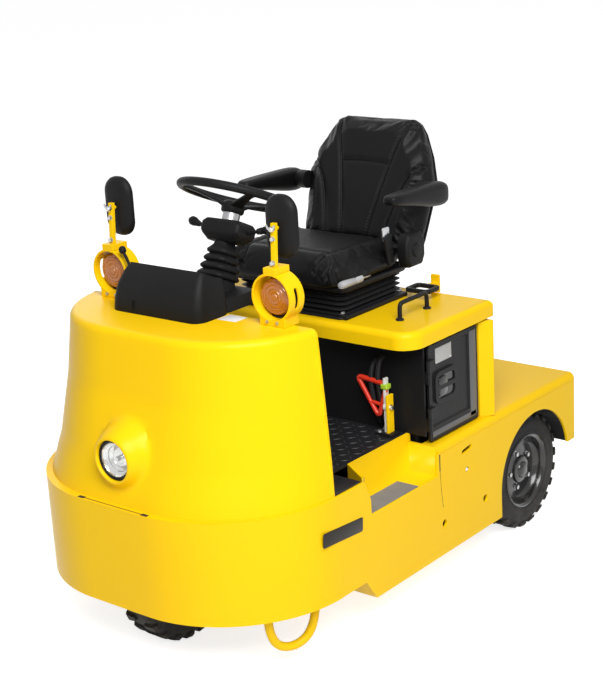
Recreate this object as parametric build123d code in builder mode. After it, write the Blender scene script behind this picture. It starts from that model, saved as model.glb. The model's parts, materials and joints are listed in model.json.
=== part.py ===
"""Three-wheeled electric tow tractor for airport baggage, built piece by piece.

Millimetres. X forward, Y to the driver's left, Z up, ground at z = 0.
"""
import os
from math import cos, sin, radians

from build123d import *

os.makedirs("parts", exist_ok=True)

# Overall sizes
body_width = 1008
nose_x = 880
body_length = 1704
half = body_width / 2
tail_x = nose_x - body_length

# Wheels
tyre_radius = 200
tyre_width = 112
tread_base = tyre_radius - 10
lug_count = 22
lug_length = 30
lug_depth = 34
lug_inset = 3
lug_reach = 42
rim_radius = tyre_radius - 82
rim_wall = 8
rim_half = 44
bead = 26
shoulder = 14
hub_radius = 40
shaft_radius = 20
nut_circle = rim_radius - 56
nut_size = 9
running_gap = 0.5

# Sheet and plate thicknesses
skin = 10
deck_plate = 24
belly_plate = 12
shell = 5
panel = 8
liner = 4

# Heights, with the deck above the wheels
sill_z = 118
skirt_z = 186
tail_z = 240
deck_z = 2 * tyre_radius + 78
step_z = deck_z - 92
skirt_top = deck_z + 17
floor_z = skirt_top + 10
hood_z = floor_z + 293
hood_height = 54
cowl_low = skirt_top + 105
cowl_mid = skirt_top + 285
cowl_top = skirt_top + 470

# Lengthwise places, from the nose and the tail towards the battery box
skirt_wall = 30
arch_gap = 14
arch_radius = tyre_radius + arch_gap
front_axle_x = nose_x - skirt_wall - tyre_radius - arch_gap
rear_axle_x = tail_x + arch_radius + 42
rear_track = body_width - 180
wheel_sweep = 258
well_x = front_axle_x - wheel_sweep
footwell_front = front_axle_x - 80
belly_front_x = well_x - 48
bulkhead_depth = 46
bulkhead_x = rear_axle_x + arch_radius + bulkhead_depth + 21
box_share = 290 / 665
box_length = box_share * (well_x - bulkhead_x)
box_x = bulkhead_x + box_length
hood_front = box_x + 92
hood_back = bulkhead_x - bulkhead_depth - 19
belly_back_x = rear_axle_x + arch_radius + liner

# Crosswise places
skin_y = half - skin
skirt_corner = half - 114
recess_y = half - 104
door_y = half - 32
lamp_y = half - 189
rear_wheel_y = rear_track / 2
skin_top = deck_z - deck_plate
side_round = 22

# Gaps at moving pieces
door_gap = 6
lid_gap = 6
pin_gap = 0.5


def save(builder, name):
    """Label the finished piece and write it to its own file."""
    builder.part.label = name
    export_step(builder.part, "parts/" + name + ".step")


def nose_outline(front, width, corner, back):
    """Plan of the nose: straight sides and two large front corners."""
    with BuildSketch() as outline:
        with Locations((back, 0)):
            Rectangle(front - back, 2 * width, align=(Align.MIN, Align.CENTER))
        fillet(outline.vertices().group_by(Axis.X)[-1], corner)
    return outline.sketch


# Side skins with the wheel arch, the step notch and the lock holes
step_front = well_x - 39
step_rise = 46
sill_top_x = well_x - belly_plate
lock_x = (box_x + bulkhead_x) / 2 - 16
drain_inset = 30
drain_z = sill_z + 102
with BuildPart() as side_skins:
    with BuildSketch(Plane.XZ.offset(-half)):
        with BuildLine():
            Polyline(
                (tail_x, skin_top),
                (tail_x, tail_z),
                (rear_axle_x, tail_z),
                (rear_axle_x, sill_z),
                (belly_front_x, sill_z),
                (well_x, skirt_z),
                (nose_x - skirt_corner, skirt_z),
                (nose_x - skirt_corner, skirt_top),
                (sill_top_x, skirt_top),
                (step_front, step_z + step_rise),
                (step_front, step_z),
                (box_x, step_z),
                (box_x, skin_top),
                close=True,
            )
        make_face()
        with Locations((rear_axle_x, tyre_radius)):
            Circle(arch_radius, mode=Mode.SUBTRACT)
            Rectangle(2 * arch_radius, tyre_radius, align=(Align.CENTER, Align.MAX), mode=Mode.SUBTRACT)
        with Locations((lock_x, skin_top - 34)):
            SlotOverall(56, 14, rotation=-8, mode=Mode.SUBTRACT)
        with Locations((lock_x, skin_top - 101)):
            Circle(9, mode=Mode.SUBTRACT)
        with Locations((bulkhead_x + drain_inset, drain_z), (box_x - drain_inset, drain_z)):
            Circle(12, mode=Mode.SUBTRACT)
    extrude(amount=skin)
    mirror(about=Plane.XZ)
save(side_skins, "side_skins")

# Rear deck, rounded along its sides
deck_front = bulkhead_x - bulkhead_depth
with BuildPart() as rear_deck:
    with BuildSketch(Plane.XY.offset(skin_top)):
        with Locations((tail_x, 0)):
            Rectangle(deck_front - tail_x, body_width, align=(Align.MIN, Align.CENTER))
    extrude(amount=deck_plate)
    fillet(rear_deck.edges().filter_by(Axis.X).group_by(Axis.Z)[-1], side_round)
save(rear_deck, "rear_deck")

# Ledges under the battery doors, joined under the bulkhead
ledge_width = 62
with BuildPart() as side_ledges:
    with BuildSketch(Plane.XY.offset(skin_top)):
        with Locations((deck_front, 0)):
            Rectangle(bulkhead_depth, body_width, align=(Align.MIN, Align.CENTER))
        with Locations((bulkhead_x, half), (bulkhead_x, ledge_width - half)):
            Rectangle(box_length - panel, ledge_width, align=(Align.MIN, Align.MAX))
    extrude(amount=deck_plate)
    top_edges = side_ledges.edges().filter_by(Axis.X).group_by(Axis.Z)[-1]
    fillet(top_edges.group_by(Axis.Y)[0] + top_edges.group_by(Axis.Y)[-1], side_round)
save(side_ledges, "side_ledges")

# Rear plate between the tails of the skins
plate_wall = 16
hitch_width = 120
hitch_low = 250
hitch_high = 410
with BuildPart() as rear_plate:
    with BuildSketch(Plane.YZ.offset(tail_x)):
        with Locations((0, skin_top)):
            Rectangle(2 * skin_y, skin_top - tail_z, align=(Align.CENTER, Align.MAX))
        with Locations((0, (hitch_low + hitch_high) / 2)):
            Rectangle(hitch_width, hitch_high - hitch_low, mode=Mode.SUBTRACT)
    extrude(amount=plate_wall)
save(rear_plate, "rear_plate")

# Half-round liners over the rear wheels
liner_depth = 150
with BuildPart() as arch_liners:
    with BuildSketch(Plane.XZ.offset(-skin_y)):
        with Locations((rear_axle_x, tyre_radius)):
            Circle(arch_radius + liner)
            Circle(arch_radius, mode=Mode.SUBTRACT)
            Rectangle(
                2 * (arch_radius + liner),
                arch_radius + liner,
                align=(Align.CENTER, Align.MAX),
                mode=Mode.SUBTRACT,
            )
    extrude(amount=liner_depth)
    mirror(about=Plane.XZ)
save(arch_liners, "arch_liners")

# Belly tray with its raked front and the wall behind the steered wheel
front_plate_z = skirt_top - 40
with BuildPart() as belly_pan:
    with BuildSketch(Plane.XZ.offset(-skin_y)):
        with BuildLine():
            Polyline(
                (belly_back_x, skin_top),
                (belly_back_x, sill_z),
                (belly_front_x, sill_z),
                (well_x, skirt_z),
                (well_x, front_plate_z),
                (well_x - belly_plate, front_plate_z),
                (well_x - belly_plate, skirt_z),
                (belly_front_x - belly_plate, sill_z + belly_plate),
                (belly_back_x + belly_plate, sill_z + belly_plate),
                (belly_back_x + belly_plate, skin_top),
                close=True,
            )
        make_face()
    extrude(amount=2 * skin_y)
save(belly_pan, "belly_pan")

# Thick wrap-round bumper skirt with its front slot
slot_length = 250
slot_end = 26
slot_depth = 20
slot_set = 10
inner_nose = nose_x - skirt_wall
inner_half = half - skirt_wall
inner_corner = skirt_corner - skirt_wall
with BuildPart() as bumper_skirt:
    with BuildSketch(Plane.XY.offset(skirt_z)):
        add(nose_outline(nose_x, half, skirt_corner, nose_x - skirt_corner))
        add(
            nose_outline(inner_nose, inner_half, inner_corner, nose_x - skirt_corner),
            mode=Mode.SUBTRACT,
        )
    extrude(amount=skirt_top - skirt_z)
    with BuildSketch(Plane.XY.offset(skirt_top)):
        with Locations((nose_x - slot_set, 0)):
            Rectangle(5, slot_length)
            with GridLocations(0, slot_length, 1, 2):
                Rectangle(14, slot_end)
    extrude(amount=-slot_depth, mode=Mode.SUBTRACT)
save(bumper_skirt, "bumper_skirt")

# Front plate inside the skirt, carrying the steering bearing
front_plate = 20
bearing_radius = 70
bearing_lip = 22
with BuildPart() as front_deck:
    with BuildSketch(Plane.XY.offset(front_plate_z)):
        add(nose_outline(inner_nose, inner_half, inner_corner, well_x - belly_plate))
        with Locations((front_axle_x, 0)):
            Circle(bearing_radius, mode=Mode.SUBTRACT)
    extrude(amount=front_plate)
save(front_deck, "front_deck")

# Steering bearing pressed into the front plate
stem_radius = 42
with BuildPart() as steer_bearing:
    with BuildSketch(Plane.XY.offset(front_plate_z)):
        with Locations((front_axle_x, 0)):
            Circle(bearing_radius)
            Circle(stem_radius + running_gap, mode=Mode.SUBTRACT)
    extrude(amount=front_plate + bearing_lip)
save(steer_bearing, "steer_bearing")

# Front cowl: a hollow tapered shell flaring out to the bumper, with the headlight pod
# columns: height, set-back from the nose, set-in from the side, corner radius
cowl_sections = (
    (skirt_top, 24, 6, skirt_corner - 5),
    (cowl_low, 65, 16, skirt_corner - 5),
    (cowl_mid, 118, 39, skirt_corner - 45),
    (cowl_top, 142, 64, skirt_corner - 70),
)
cowl_foot_x = front_axle_x - 136
cowl_lean = 33
cowl_back = nose_x - skirt_corner - 110
pod_z = skirt_top + 128
pod_x = nose_x - 22
pod_radius = 68
pod_flare = 86
pod_slope = 70
pod_length = 120
lamp_radius = 62
cowl_cut = Plane(
    origin=(cowl_foot_x, 0, skirt_top), x_dir=(0, 1, 0), z_dir=(cowl_top - skirt_top, 0, cowl_lean)
)
with BuildPart() as cowl_hollow:
    for height, set_back, set_in, corner in cowl_sections:
        with BuildSketch(Plane.XY.offset(min(height, cowl_top - shell))):
            inner_front = nose_x - set_back - shell
            add(nose_outline(inner_front, half - set_in - shell, corner - shell, cowl_back - shell))
    loft()
    fillet(cowl_hollow.edges().group_by(Axis.Z)[-1].sort_by(Axis.X)[1:], side_round - shell)

with BuildPart() as front_cowl:
    for height, set_back, set_in, corner in cowl_sections:
        with BuildSketch(Plane.XY.offset(height)):
            add(nose_outline(nose_x - set_back, half - set_in, corner, cowl_back))
    loft()
    fillet(front_cowl.edges().group_by(Axis.Z)[-1].sort_by(Axis.X)[1:], side_round)
    with BuildSketch(Plane.XZ):
        with BuildLine():
            Polyline(
                (pod_x - pod_length, pod_z),
                (pod_x, pod_z),
                (pod_x, pod_z + pod_radius),
                (pod_x - pod_slope, pod_z + pod_flare),
                (pod_x - pod_length, pod_z + pod_flare),
                close=True,
            )
        make_face()
    revolve(axis=Axis((pod_x, 0, pod_z), (1, 0, 0)))
    add(cowl_hollow.part, mode=Mode.SUBTRACT)
    with BuildSketch(Plane.YZ.offset(pod_x)):
        with Locations((0, pod_z)):
            Circle(lamp_radius)
    extrude(amount=-pod_length - 30, mode=Mode.SUBTRACT)
    split(bisect_by=cowl_cut, keep=Keep.TOP)
save(front_cowl, "front_cowl")

# Headlight bezel and lens
lens_radius = 46
lens_dome = 8
lens_depth = 25
bezel_depth = 30
bezel_lip = 12
with BuildPart() as headlight_bezel:
    with BuildSketch(Plane.YZ.offset(pod_x - bezel_depth)):
        with Locations((0, pod_z)):
            Circle(lamp_radius)
            Circle(lens_radius, mode=Mode.SUBTRACT)
    extrude(amount=bezel_depth + bezel_lip)
    fillet(headlight_bezel.edges().group_by(Axis.X)[-1], 5)
save(headlight_bezel, "headlight_bezel")

with BuildPart() as headlight_lens:
    with BuildSketch(Plane.YZ.offset(pod_x - lens_depth)):
        with Locations((0, pod_z)):
            Circle(lens_radius)
    extrude(amount=lens_depth + lens_dome)
    fillet(headlight_lens.edges().group_by(Axis.X)[-1], lens_dome + 2)
save(headlight_lens, "headlight_lens")

# Step recesses in both sides, closed towards the battery and the wheel well
recess_front = well_x - 78
recess_wall = 8
with BuildPart() as step_recesses:
    with BuildSketch(Plane.XY.offset(step_z - belly_plate)):
        with BuildLine():
            Polyline(
                (box_x - panel, recess_y - recess_wall),
                (recess_front, recess_y - recess_wall),
                (sill_top_x, skin_y),
                (box_x - panel, skin_y),
                close=True,
            )
        make_face()
    extrude(amount=floor_z - step_z + belly_plate)
    with BuildSketch(Plane.XY.offset(step_z)):
        with BuildLine():
            Polyline(
                (box_x, recess_y),
                (recess_front - 6, recess_y),
                (sill_top_x - 13, skin_y),
                (box_x, skin_y),
                close=True,
            )
        make_face()
    extrude(amount=floor_z, mode=Mode.SUBTRACT)
    with BuildSketch(Plane.XY.offset(deck_z)):
        with Locations((box_x - panel, recess_y)):
            Rectangle(panel, skin_y - recess_y, align=(Align.MIN, Align.MIN))
    extrude(amount=floor_z, mode=Mode.SUBTRACT)
    mirror(about=Plane.XZ)
save(step_recesses, "step_recesses")

# Grey anti-slip pads on the steps
pad_thick = 3
pad_back = box_x + (recess_front - box_x) / 3
pad_edge = 4
with BuildPart() as step_pads:
    with BuildSketch(Plane.XY.offset(step_z)):
        with BuildLine():
            Polyline(
                (pad_back, recess_y + 24),
                (recess_front - 52, recess_y + 24),
                (step_front - pad_edge, half - pad_edge),
                (pad_back, half - pad_edge),
                close=True,
            )
        make_face()
    extrude(amount=pad_thick)
    mirror(about=Plane.XZ)
save(step_pads, "step_pads")

# Footwell floor
with BuildPart() as footwell_floor:
    with BuildSketch(Plane.XY.offset(floor_z - panel)):
        with Locations((box_x - panel, 0)):
            Rectangle(
                footwell_front + panel - box_x + panel,
                2 * (recess_y - recess_wall),
                align=(Align.MIN, Align.CENTER),
            )
    extrude(amount=panel)
save(footwell_floor, "footwell_floor")

# Firewall inside the cowl
# columns: height, set-in from the side
firewall_rows = ((floor_z, 30), (cowl_low, 50), (cowl_mid, 81), (cowl_top - shell - 3, 112))
with BuildPart() as firewall:
    with BuildSketch(Plane.YZ.offset(footwell_front)):
        with BuildLine():
            Polyline(
                *[(half - set_in, height) for height, set_in in firewall_rows],
                *[(set_in - half, height) for height, set_in in reversed(firewall_rows)],
                close=True,
            )
        make_face()
    extrude(amount=panel)
save(firewall, "firewall")

# Dash housing: a rounded hump and a lower shelf for the column
dash_back = footwell_front - 104
dash_right = 83 - lamp_y
# columns: height above the cowl, back, front, right end, left end, corner radius
dash_sections = (
    (0, dash_back, dash_back + 144, dash_right, 124, 66),
    (65, dash_back, dash_back + 132, dash_right + 10, 116, 62),
    (137, dash_back + 8, dash_back + 82, dash_right + 42, 98, 42),
)
shelf_z = cowl_top + 40
shelf_length = 150
column_x = dash_back - 67
with BuildPart() as dash_housing:
    for height, back, front, right, left, corner in dash_sections:
        with BuildSketch(Plane.XY.offset(cowl_top + height)) as row:
            with Locations((back, right)):
                Rectangle(front - back, left - right, align=(Align.MIN, Align.MIN))
            fillet(row.vertices().group_by(Axis.X)[-1], corner)
    loft()
    with BuildSketch(Plane.XY.offset(shelf_z)):
        with Locations((dash_back + 28, 0)):
            RectangleRounded(shelf_length, 230, 30, align=(Align.MAX, Align.CENTER))
    extrude(amount=cowl_top - shelf_z)
save(dash_housing, "dash_housing")

# Steering column, leaning back towards the driver
column_lean = 25
column_length = 226
column_radius = 26
axis_dir = (-sin(radians(column_lean)), 0, cos(radians(column_lean)))
column_plane = Plane(origin=(column_x, 0, shelf_z), x_dir=(0, 1, 0), z_dir=axis_dir)
boot_length = 125
boot_radius = 58
with BuildPart() as steering_column:
    with BuildSketch(column_plane.offset(boot_length)):
        Circle(column_radius)
    extrude(amount=column_length - boot_length)
save(steering_column, "steering_column")

# Folded rubber boot round the foot of the column
fold_count = 5
fold_depth = 8
fold_pitch = boot_length / fold_count
fold_step = 3
with BuildPart() as column_boot:
    for fold in range(fold_count):
        ring = boot_radius - fold_step * fold
        with BuildSketch(column_plane.offset(fold * fold_pitch)):
            Circle(ring - fold_depth)
        with BuildSketch(column_plane.offset((fold + 0.5) * fold_pitch)):
            Circle(ring)
        with BuildSketch(column_plane.offset((fold + 1) * fold_pitch)):
            Circle(ring - fold_step - fold_depth)
        loft(ruled=True)
    split(bisect_by=Plane.XY.offset(shelf_z), keep=Keep.TOP)
save(column_boot, "column_boot")

# Switch box on the column with its two levers
box_low = 140
box_half = 75
box_height = 62
with BuildPart() as switch_box:
    with BuildSketch(column_plane.offset(box_low)):
        RectangleRounded(2 * box_half, 92, 18)
        Circle(column_radius, mode=Mode.SUBTRACT)
    extrude(amount=box_height)
    fillet(switch_box.edges().group_by(SortBy.LENGTH)[-1], 4)
save(switch_box, "switch_box")

# columns: side, reach, knob radius
lever_rows = ((1, 38, 12), (-1, 46, 14))
lever_rise = 0.25
with BuildPart() as column_levers:
    for side, reach, knob in lever_rows:
        lever_foot = column_plane.from_local_coords((side * box_half, 0, box_low + box_height / 2))
        with BuildSketch(Plane(origin=lever_foot, z_dir=(0, side, lever_rise))):
            Circle(6)
        extrude(amount=reach)
        with BuildSketch(Plane(origin=lever_foot, z_dir=(0, side, lever_rise)).offset(reach)):
            Circle(knob)
        extrude(amount=44)
    add(switch_box.part, mode=Mode.SUBTRACT)
save(column_levers, "column_levers")

# Steering wheel with three spokes
wheel_radius = 165
grip_radius = 13
wheel_plane = column_plane.offset(column_length + running_gap)
rim_plane = Plane(origin=wheel_plane.offset(18).origin, x_dir=(0, 1, 0), z_dir=wheel_plane.y_dir)
with BuildPart() as steering_wheel:
    with BuildSketch(wheel_plane):
        Circle(34)
    extrude(amount=34)
    fillet(steering_wheel.edges().filter_by(GeomType.CIRCLE).sort_by(Axis.Z)[-1], 8)
    with BuildSketch(wheel_plane.offset(12)):
        for angle in (90, 210, 330):
            with Locations(Location((0, 0, 0), (0, 0, 1), angle)):
                with Locations((wheel_radius / 2, 0)):
                    Rectangle(wheel_radius, 26)
    extrude(amount=9)
    with BuildSketch(rim_plane):
        with Locations((wheel_radius, 0)):
            Circle(grip_radius)
    revolve(axis=Axis(wheel_plane.origin, axis_dir))
save(steering_wheel, "steering_wheel")

# Indicator lamps in tube guards on the rear corners of the cowl
lamp_x = cowl_foot_x + 3
lamp_z = cowl_top + 80
guard_radius = 70
guard_wall = 7
guard_depth = 62
tab_height = 15
with BuildPart() as lamp_guards:
    with BuildSketch(Plane.YZ.offset(lamp_x - guard_depth)):
        with Locations((lamp_y, lamp_z)):
            Circle(guard_radius)
        with Locations((lamp_y, cowl_top)):
            Rectangle(90, lamp_z - cowl_top, align=(Align.CENTER, Align.MIN))
        with Locations((lamp_y, lamp_z)):
            Circle(guard_radius - guard_wall, mode=Mode.SUBTRACT)
        with Locations((lamp_y, lamp_z + guard_radius - 3)):
            Rectangle(44, tab_height + 3, align=(Align.CENTER, Align.MIN))
    extrude(amount=guard_depth)
    with BuildSketch(Plane.XZ.offset(-lamp_y)):
        with Locations((lamp_x - guard_depth / 2, lamp_z)):
            SlotOverall(60, 15, rotation=90)
    extrude(amount=-2 * guard_radius, mode=Mode.SUBTRACT)
    mirror(about=Plane.XZ)
save(lamp_guards, "lamp_guards")

with BuildPart() as turn_lamps:
    with BuildSketch(Plane.YZ.offset(lamp_x - guard_depth + 8)):
        with Locations((lamp_y, lamp_z)):
            Circle(guard_radius - guard_wall)
    extrude(amount=guard_depth - 20)
    fillet(turn_lamps.edges().group_by(Axis.X)[-1], 9)
    mirror(about=Plane.XZ)
save(turn_lamps, "turn_lamps")

# Mirrors on stalks above the lamps
mirror_x = lamp_x - 60
mirror_z = lamp_z + 189
mirror_height = 178
mirror_wide = 108
mirror_thick = 26
stalk_wide = 16
stalk_thick = 12
stalk_foot = lamp_z + guard_radius + tab_height
stalk_x = lamp_x - guard_depth / 2
mirror_face = mirror_x + mirror_thick / 2
with BuildPart() as mirror_stalks:
    with BuildSketch(Plane.XZ.offset(-lamp_y - stalk_wide / 2)):
        with BuildLine():
            Polyline(
                (stalk_x, stalk_foot),
                (stalk_x + stalk_thick, stalk_foot),
                (mirror_face + 8 + stalk_thick, mirror_z + 16),
                (mirror_face + 8, mirror_z + 16),
                close=True,
            )
        make_face()
    extrude(amount=stalk_wide)
    with BuildSketch(Plane.YZ.offset(mirror_face)):
        with Locations((lamp_y, mirror_z)):
            Circle(6)
    extrude(amount=20)
    mirror(about=Plane.XZ)
save(mirror_stalks, "mirror_stalks")

with BuildPart() as mirror_shells:
    with BuildSketch(Plane.YZ.offset(mirror_x - mirror_thick / 2)):
        with Locations((lamp_y, mirror_z)):
            SlotOverall(mirror_height, mirror_wide, rotation=90)
    extrude(amount=mirror_thick)
    fillet(mirror_shells.edges().group_by(Axis.X)[-1], 10)
    mirror(about=Plane.XZ)
save(mirror_shells, "mirror_shells")

with BuildPart() as mirror_glasses:
    with BuildSketch(Plane.YZ.offset(mirror_x - mirror_thick / 2)):
        with Locations((lamp_y, mirror_z)):
            SlotOverall(mirror_height - 12, mirror_wide - 12, rotation=90)
    extrude(amount=-3)
    mirror(about=Plane.XZ)
save(mirror_glasses, "mirror_glasses")

# Front wall of the battery box behind the driver's legs
door_wall = 8
with BuildPart() as box_front:
    with BuildSketch(Plane.YZ.offset(box_x - panel)):
        with Locations((0, floor_z)):
            Rectangle(2 * (door_y - door_wall), hood_z - lid_gap - floor_z, align=(Align.CENTER, Align.MIN))
    extrude(amount=panel)
save(box_front, "box_front")

# Bulkhead behind the battery, with wings angled out to the sides
bulkhead_top = hood_z - lid_gap
wing_tip = 6
with BuildPart() as bulkhead:
    with BuildSketch(Plane.XY.offset(deck_z)):
        with BuildLine():
            Polyline(
                (bulkhead_x, door_y),
                (bulkhead_x - bulkhead_depth + wing_tip, half - wing_tip),
                (bulkhead_x - bulkhead_depth, half - wing_tip),
                (bulkhead_x - bulkhead_depth, wing_tip - half),
                (bulkhead_x - bulkhead_depth + wing_tip, wing_tip - half),
                (bulkhead_x, -door_y),
                close=True,
            )
        make_face()
    extrude(amount=bulkhead_top - deck_z)
    with BuildSketch(Plane.YZ.offset(bulkhead_x)):
        with Locations((0, deck_z)):
            Rectangle(2 * door_y - 60, bulkhead_top - deck_z - 30, align=(Align.CENTER, Align.MIN))
    extrude(amount=panel - bulkhead_depth, mode=Mode.SUBTRACT)
save(bulkhead, "bulkhead")

# Battery: one plain block on the belly
battery_back = bulkhead_x + 12
battery_front = box_x - panel - 12
with BuildPart() as battery:
    with BuildSketch(Plane.XY.offset(sill_z + belly_plate)):
        with Locations(((battery_back + battery_front) / 2, 0)):
            RectangleRounded(battery_front - battery_back, 2 * door_y - 104, 12)
    extrude(amount=hood_z - sill_z - 70)
save(battery, "battery")

# Battery doors, hinged at their front edge
hinge_radius = 7
hinge_x = box_x - panel / 2
hinge_y = door_y + hinge_radius
door_low = deck_z + door_gap
door_high = hood_z - lid_gap - 4
door_front = box_x - panel - door_gap
door_back = bulkhead_x + 10
knuckle = 36
knuckle_rows = (door_low + 76, door_high - 78)
door_x = (door_back + door_front) / 2
door_z = (door_low + door_high) / 2
latch_width = 0.45 * (door_front - door_back)
latch_height = 104
latch_wall = 16
latch_round = 25
door_dish = 5
with BuildPart() as battery_door_left:
    with BuildSketch(Plane.XZ.offset(-door_y)):
        with Locations((door_x, door_z)):
            RectangleRounded(door_front - door_back, door_high - door_low, 10)
    extrude(amount=door_wall)
    with BuildSketch(Plane.XZ.offset(-door_y)):
        with Locations((door_x + 14, door_z + 14)):
            Rectangle(door_front - door_back - 60, door_high - door_low - 60)
    extrude(amount=door_dish, taper=40, mode=Mode.SUBTRACT)
    with BuildSketch(Plane.XZ.offset(door_dish - door_y)):
        with Locations((door_x + 42, door_z + 8)):
            RectangleRounded(latch_width, latch_height, latch_round)
            RectangleRounded(
                latch_width - 2 * latch_wall,
                latch_height - 2 * latch_wall,
                latch_round - latch_wall + 4,
                mode=Mode.SUBTRACT,
            )
            Rectangle(latch_width - latch_wall, latch_wall)
    extrude(amount=-door_dish - 3)
    for row in knuckle_rows:
        with BuildSketch(Plane.XY.offset(row)):
            with Locations((hinge_x, hinge_y)):
                Circle(hinge_radius)
            with Locations((hinge_x, hinge_y - 2)):
                Rectangle(door_gap + 24, 10, align=(Align.MAX, Align.CENTER))
        extrude(amount=knuckle)
save(battery_door_left, "battery_door_left")

with BuildPart() as battery_door_right:
    mirror(battery_door_left.part, about=Plane.XZ)
save(battery_door_right, "battery_door_right")

with BuildPart() as door_hinges:
    for row in knuckle_rows:
        with BuildSketch(Plane.XY.offset(row - knuckle - pin_gap)):
            with Locations((hinge_x, hinge_y)):
                Circle(hinge_radius)
            with Locations((hinge_x, hinge_y)):
                Rectangle(panel, hinge_radius + door_wall, align=(Align.CENTER, Align.MAX))
        extrude(amount=knuckle)
    mirror(about=Plane.XZ)
save(door_hinges, "door_hinges")

# Hood: a hollow lid that carries the seat
hood_width = body_width - 36
hood_corner = 72
hood_round = 20
lid_hinge = 8
lid_hinge_x = hood_back + 6
lid_hinge_z = hood_z - lid_hinge
lid_knuckle = 60
lid_knuckle_y = hood_width / 2 - 146
with BuildPart() as hood:
    with BuildSketch(Plane.XY.offset(hood_z)) as plan:
        add(nose_outline(hood_front, hood_width / 2, hood_corner, hood_back))
    extrude(amount=hood_height)
    top_ring = hood.edges().group_by(Axis.Z)[-1]
    fillet(top_ring, hood_round)
    offset(amount=-shell, openings=hood.faces().sort_by(Axis.Z)[0])
    for inner in (-lid_knuckle_y - lid_knuckle, lid_knuckle_y):
        with BuildSketch(Plane.XZ.offset(-inner)):
            with Locations((lid_hinge_x, lid_hinge_z)):
                Circle(lid_hinge)
                Rectangle(2 * (lid_hinge_x - hood_back), 2 * lid_hinge, align=(Align.CENTER, Align.MIN))
        extrude(amount=-lid_knuckle)
save(hood, "hood")

with BuildPart() as hood_hinges:
    for inner in (lid_knuckle_y - lid_knuckle, lid_knuckle_y + lid_knuckle + pin_gap):
        with BuildSketch(Plane.XZ.offset(-inner)):
            with Locations((lid_hinge_x, lid_hinge_z)):
                Circle(lid_hinge)
                Rectangle(
                    bulkhead_x - bulkhead_depth - lid_hinge_x,
                    2 * lid_hinge,
                    align=(Align.MIN, Align.MAX),
                )
        extrude(amount=pin_gap - lid_knuckle)
    mirror(about=Plane.XZ)
save(hood_hinges, "hood_hinges")

# Seat: suspension box, cushion, backrest, armrests and belt pieces
hood_top = hood_z + hood_height
seat_low = hood_top + 103
seat_high = seat_low + 93
seat_front = hood_front + 23
seat_depth = 373
seat_back_x = seat_front - seat_depth
seat_width = 490
suspension_x = hood_front - 200
# columns: height above the hood, less than the seat's depth, less than its width
suspension_rows = ((0, 53, 60), (45, 73, 90), (seat_low - hood_top, 43, 50))
with BuildPart() as seat_suspension:
    for height, shorter, narrower in suspension_rows:
        with BuildSketch(Plane.XY.offset(hood_top + height)):
            with Locations((suspension_x, 0)):
                RectangleRounded(seat_depth - shorter, seat_width - narrower, 24)
    loft(ruled=True)
save(seat_suspension, "seat_suspension")

with BuildPart() as seat_cushion:
    with BuildSketch(Plane.XY.offset(seat_low)):
        with Locations(((seat_front + seat_back_x) / 2, 0)):
            RectangleRounded(seat_front - seat_back_x, seat_width, 70)
    extrude(amount=seat_high - seat_low)
    fillet(seat_cushion.edges().group_by(Axis.Z)[-1], 26)
save(seat_cushion, "seat_cushion")

recline = 20
rest_length = 458
rest_thick = 105
rest_wide = seat_width / 2 + 10
rest_top = 165
# columns: half width, height along the backrest
rest_rows = (
    (seat_width / 2, 0),
    (seat_width / 2, 70),
    (rest_wide, 180),
    (rest_wide, 260),
    (rest_top, rest_length),
)
rest_plane = Plane(
    origin=(seat_back_x - 4, 0, seat_low + 20),
    x_dir=(0, -1, 0),
    z_dir=(-cos(radians(recline)), 0, -sin(radians(recline))),
)
with BuildPart() as seat_backrest:
    with BuildSketch(rest_plane) as rest_face:
        with BuildLine():
            Polyline(
                *[(-width, height) for width, height in rest_rows],
                *[(width, height) for width, height in reversed(rest_rows)],
                close=True,
            )
        make_face()
        fillet(rest_face.vertices().sort_by(Axis.Z)[-2:], 44)
    extrude(amount=rest_thick)
    fillet(seat_backrest.edges().filter_by(rest_plane), 30)
save(seat_backrest, "seat_backrest")

# Steel recliner plates joining the backrest to the cushion
recliner = 8
with BuildPart() as seat_recliners:
    with BuildSketch(Plane.XZ.offset(-seat_width / 2)):
        with BuildLine():
            Polyline(
                (seat_back_x + 60, seat_low + 12),
                (seat_back_x + 60, seat_low + 46),
                (seat_back_x - 24, seat_low + 76),
                (seat_back_x - 62, seat_low + 60),
                (seat_back_x - 46, seat_low + 12),
                close=True,
            )
        make_face()
    extrude(amount=-recliner)
    mirror(about=Plane.XZ)
save(seat_recliners, "seat_recliners")

arm_y = rest_wide + 37
arm_z = seat_high + 142
arm_back = seat_back_x - 130
arm_front = seat_back_x + 160
arm_wide = 62
arm_pivot = 20
with BuildPart() as seat_armrests:
    with BuildSketch(Plane.XZ.offset(-arm_y - arm_wide / 2)):
        with BuildLine():
            Polyline(
                (arm_back, arm_z - 40),
                (arm_back + 26, arm_z - 60),
                (arm_front, arm_z - 14),
                (arm_front + 12, arm_z + 10),
                (arm_front, arm_z + 24),
                (arm_back + 20, arm_z + 24),
                (arm_back, arm_z),
                close=True,
            )
        make_face()
    extrude(amount=arm_wide)
    fillet(seat_armrests.edges().group_by(Axis.Y)[0] + seat_armrests.edges().group_by(Axis.Y)[-1], 10)
    with BuildSketch(Plane.XZ.offset(-arm_y)):
        with Locations((arm_back + 2 * arm_pivot, arm_z - 10)):
            Circle(arm_pivot)
    extrude(amount=arm_y - rest_wide)
    mirror(about=Plane.XZ)
save(seat_armrests, "seat_armrests")

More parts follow.
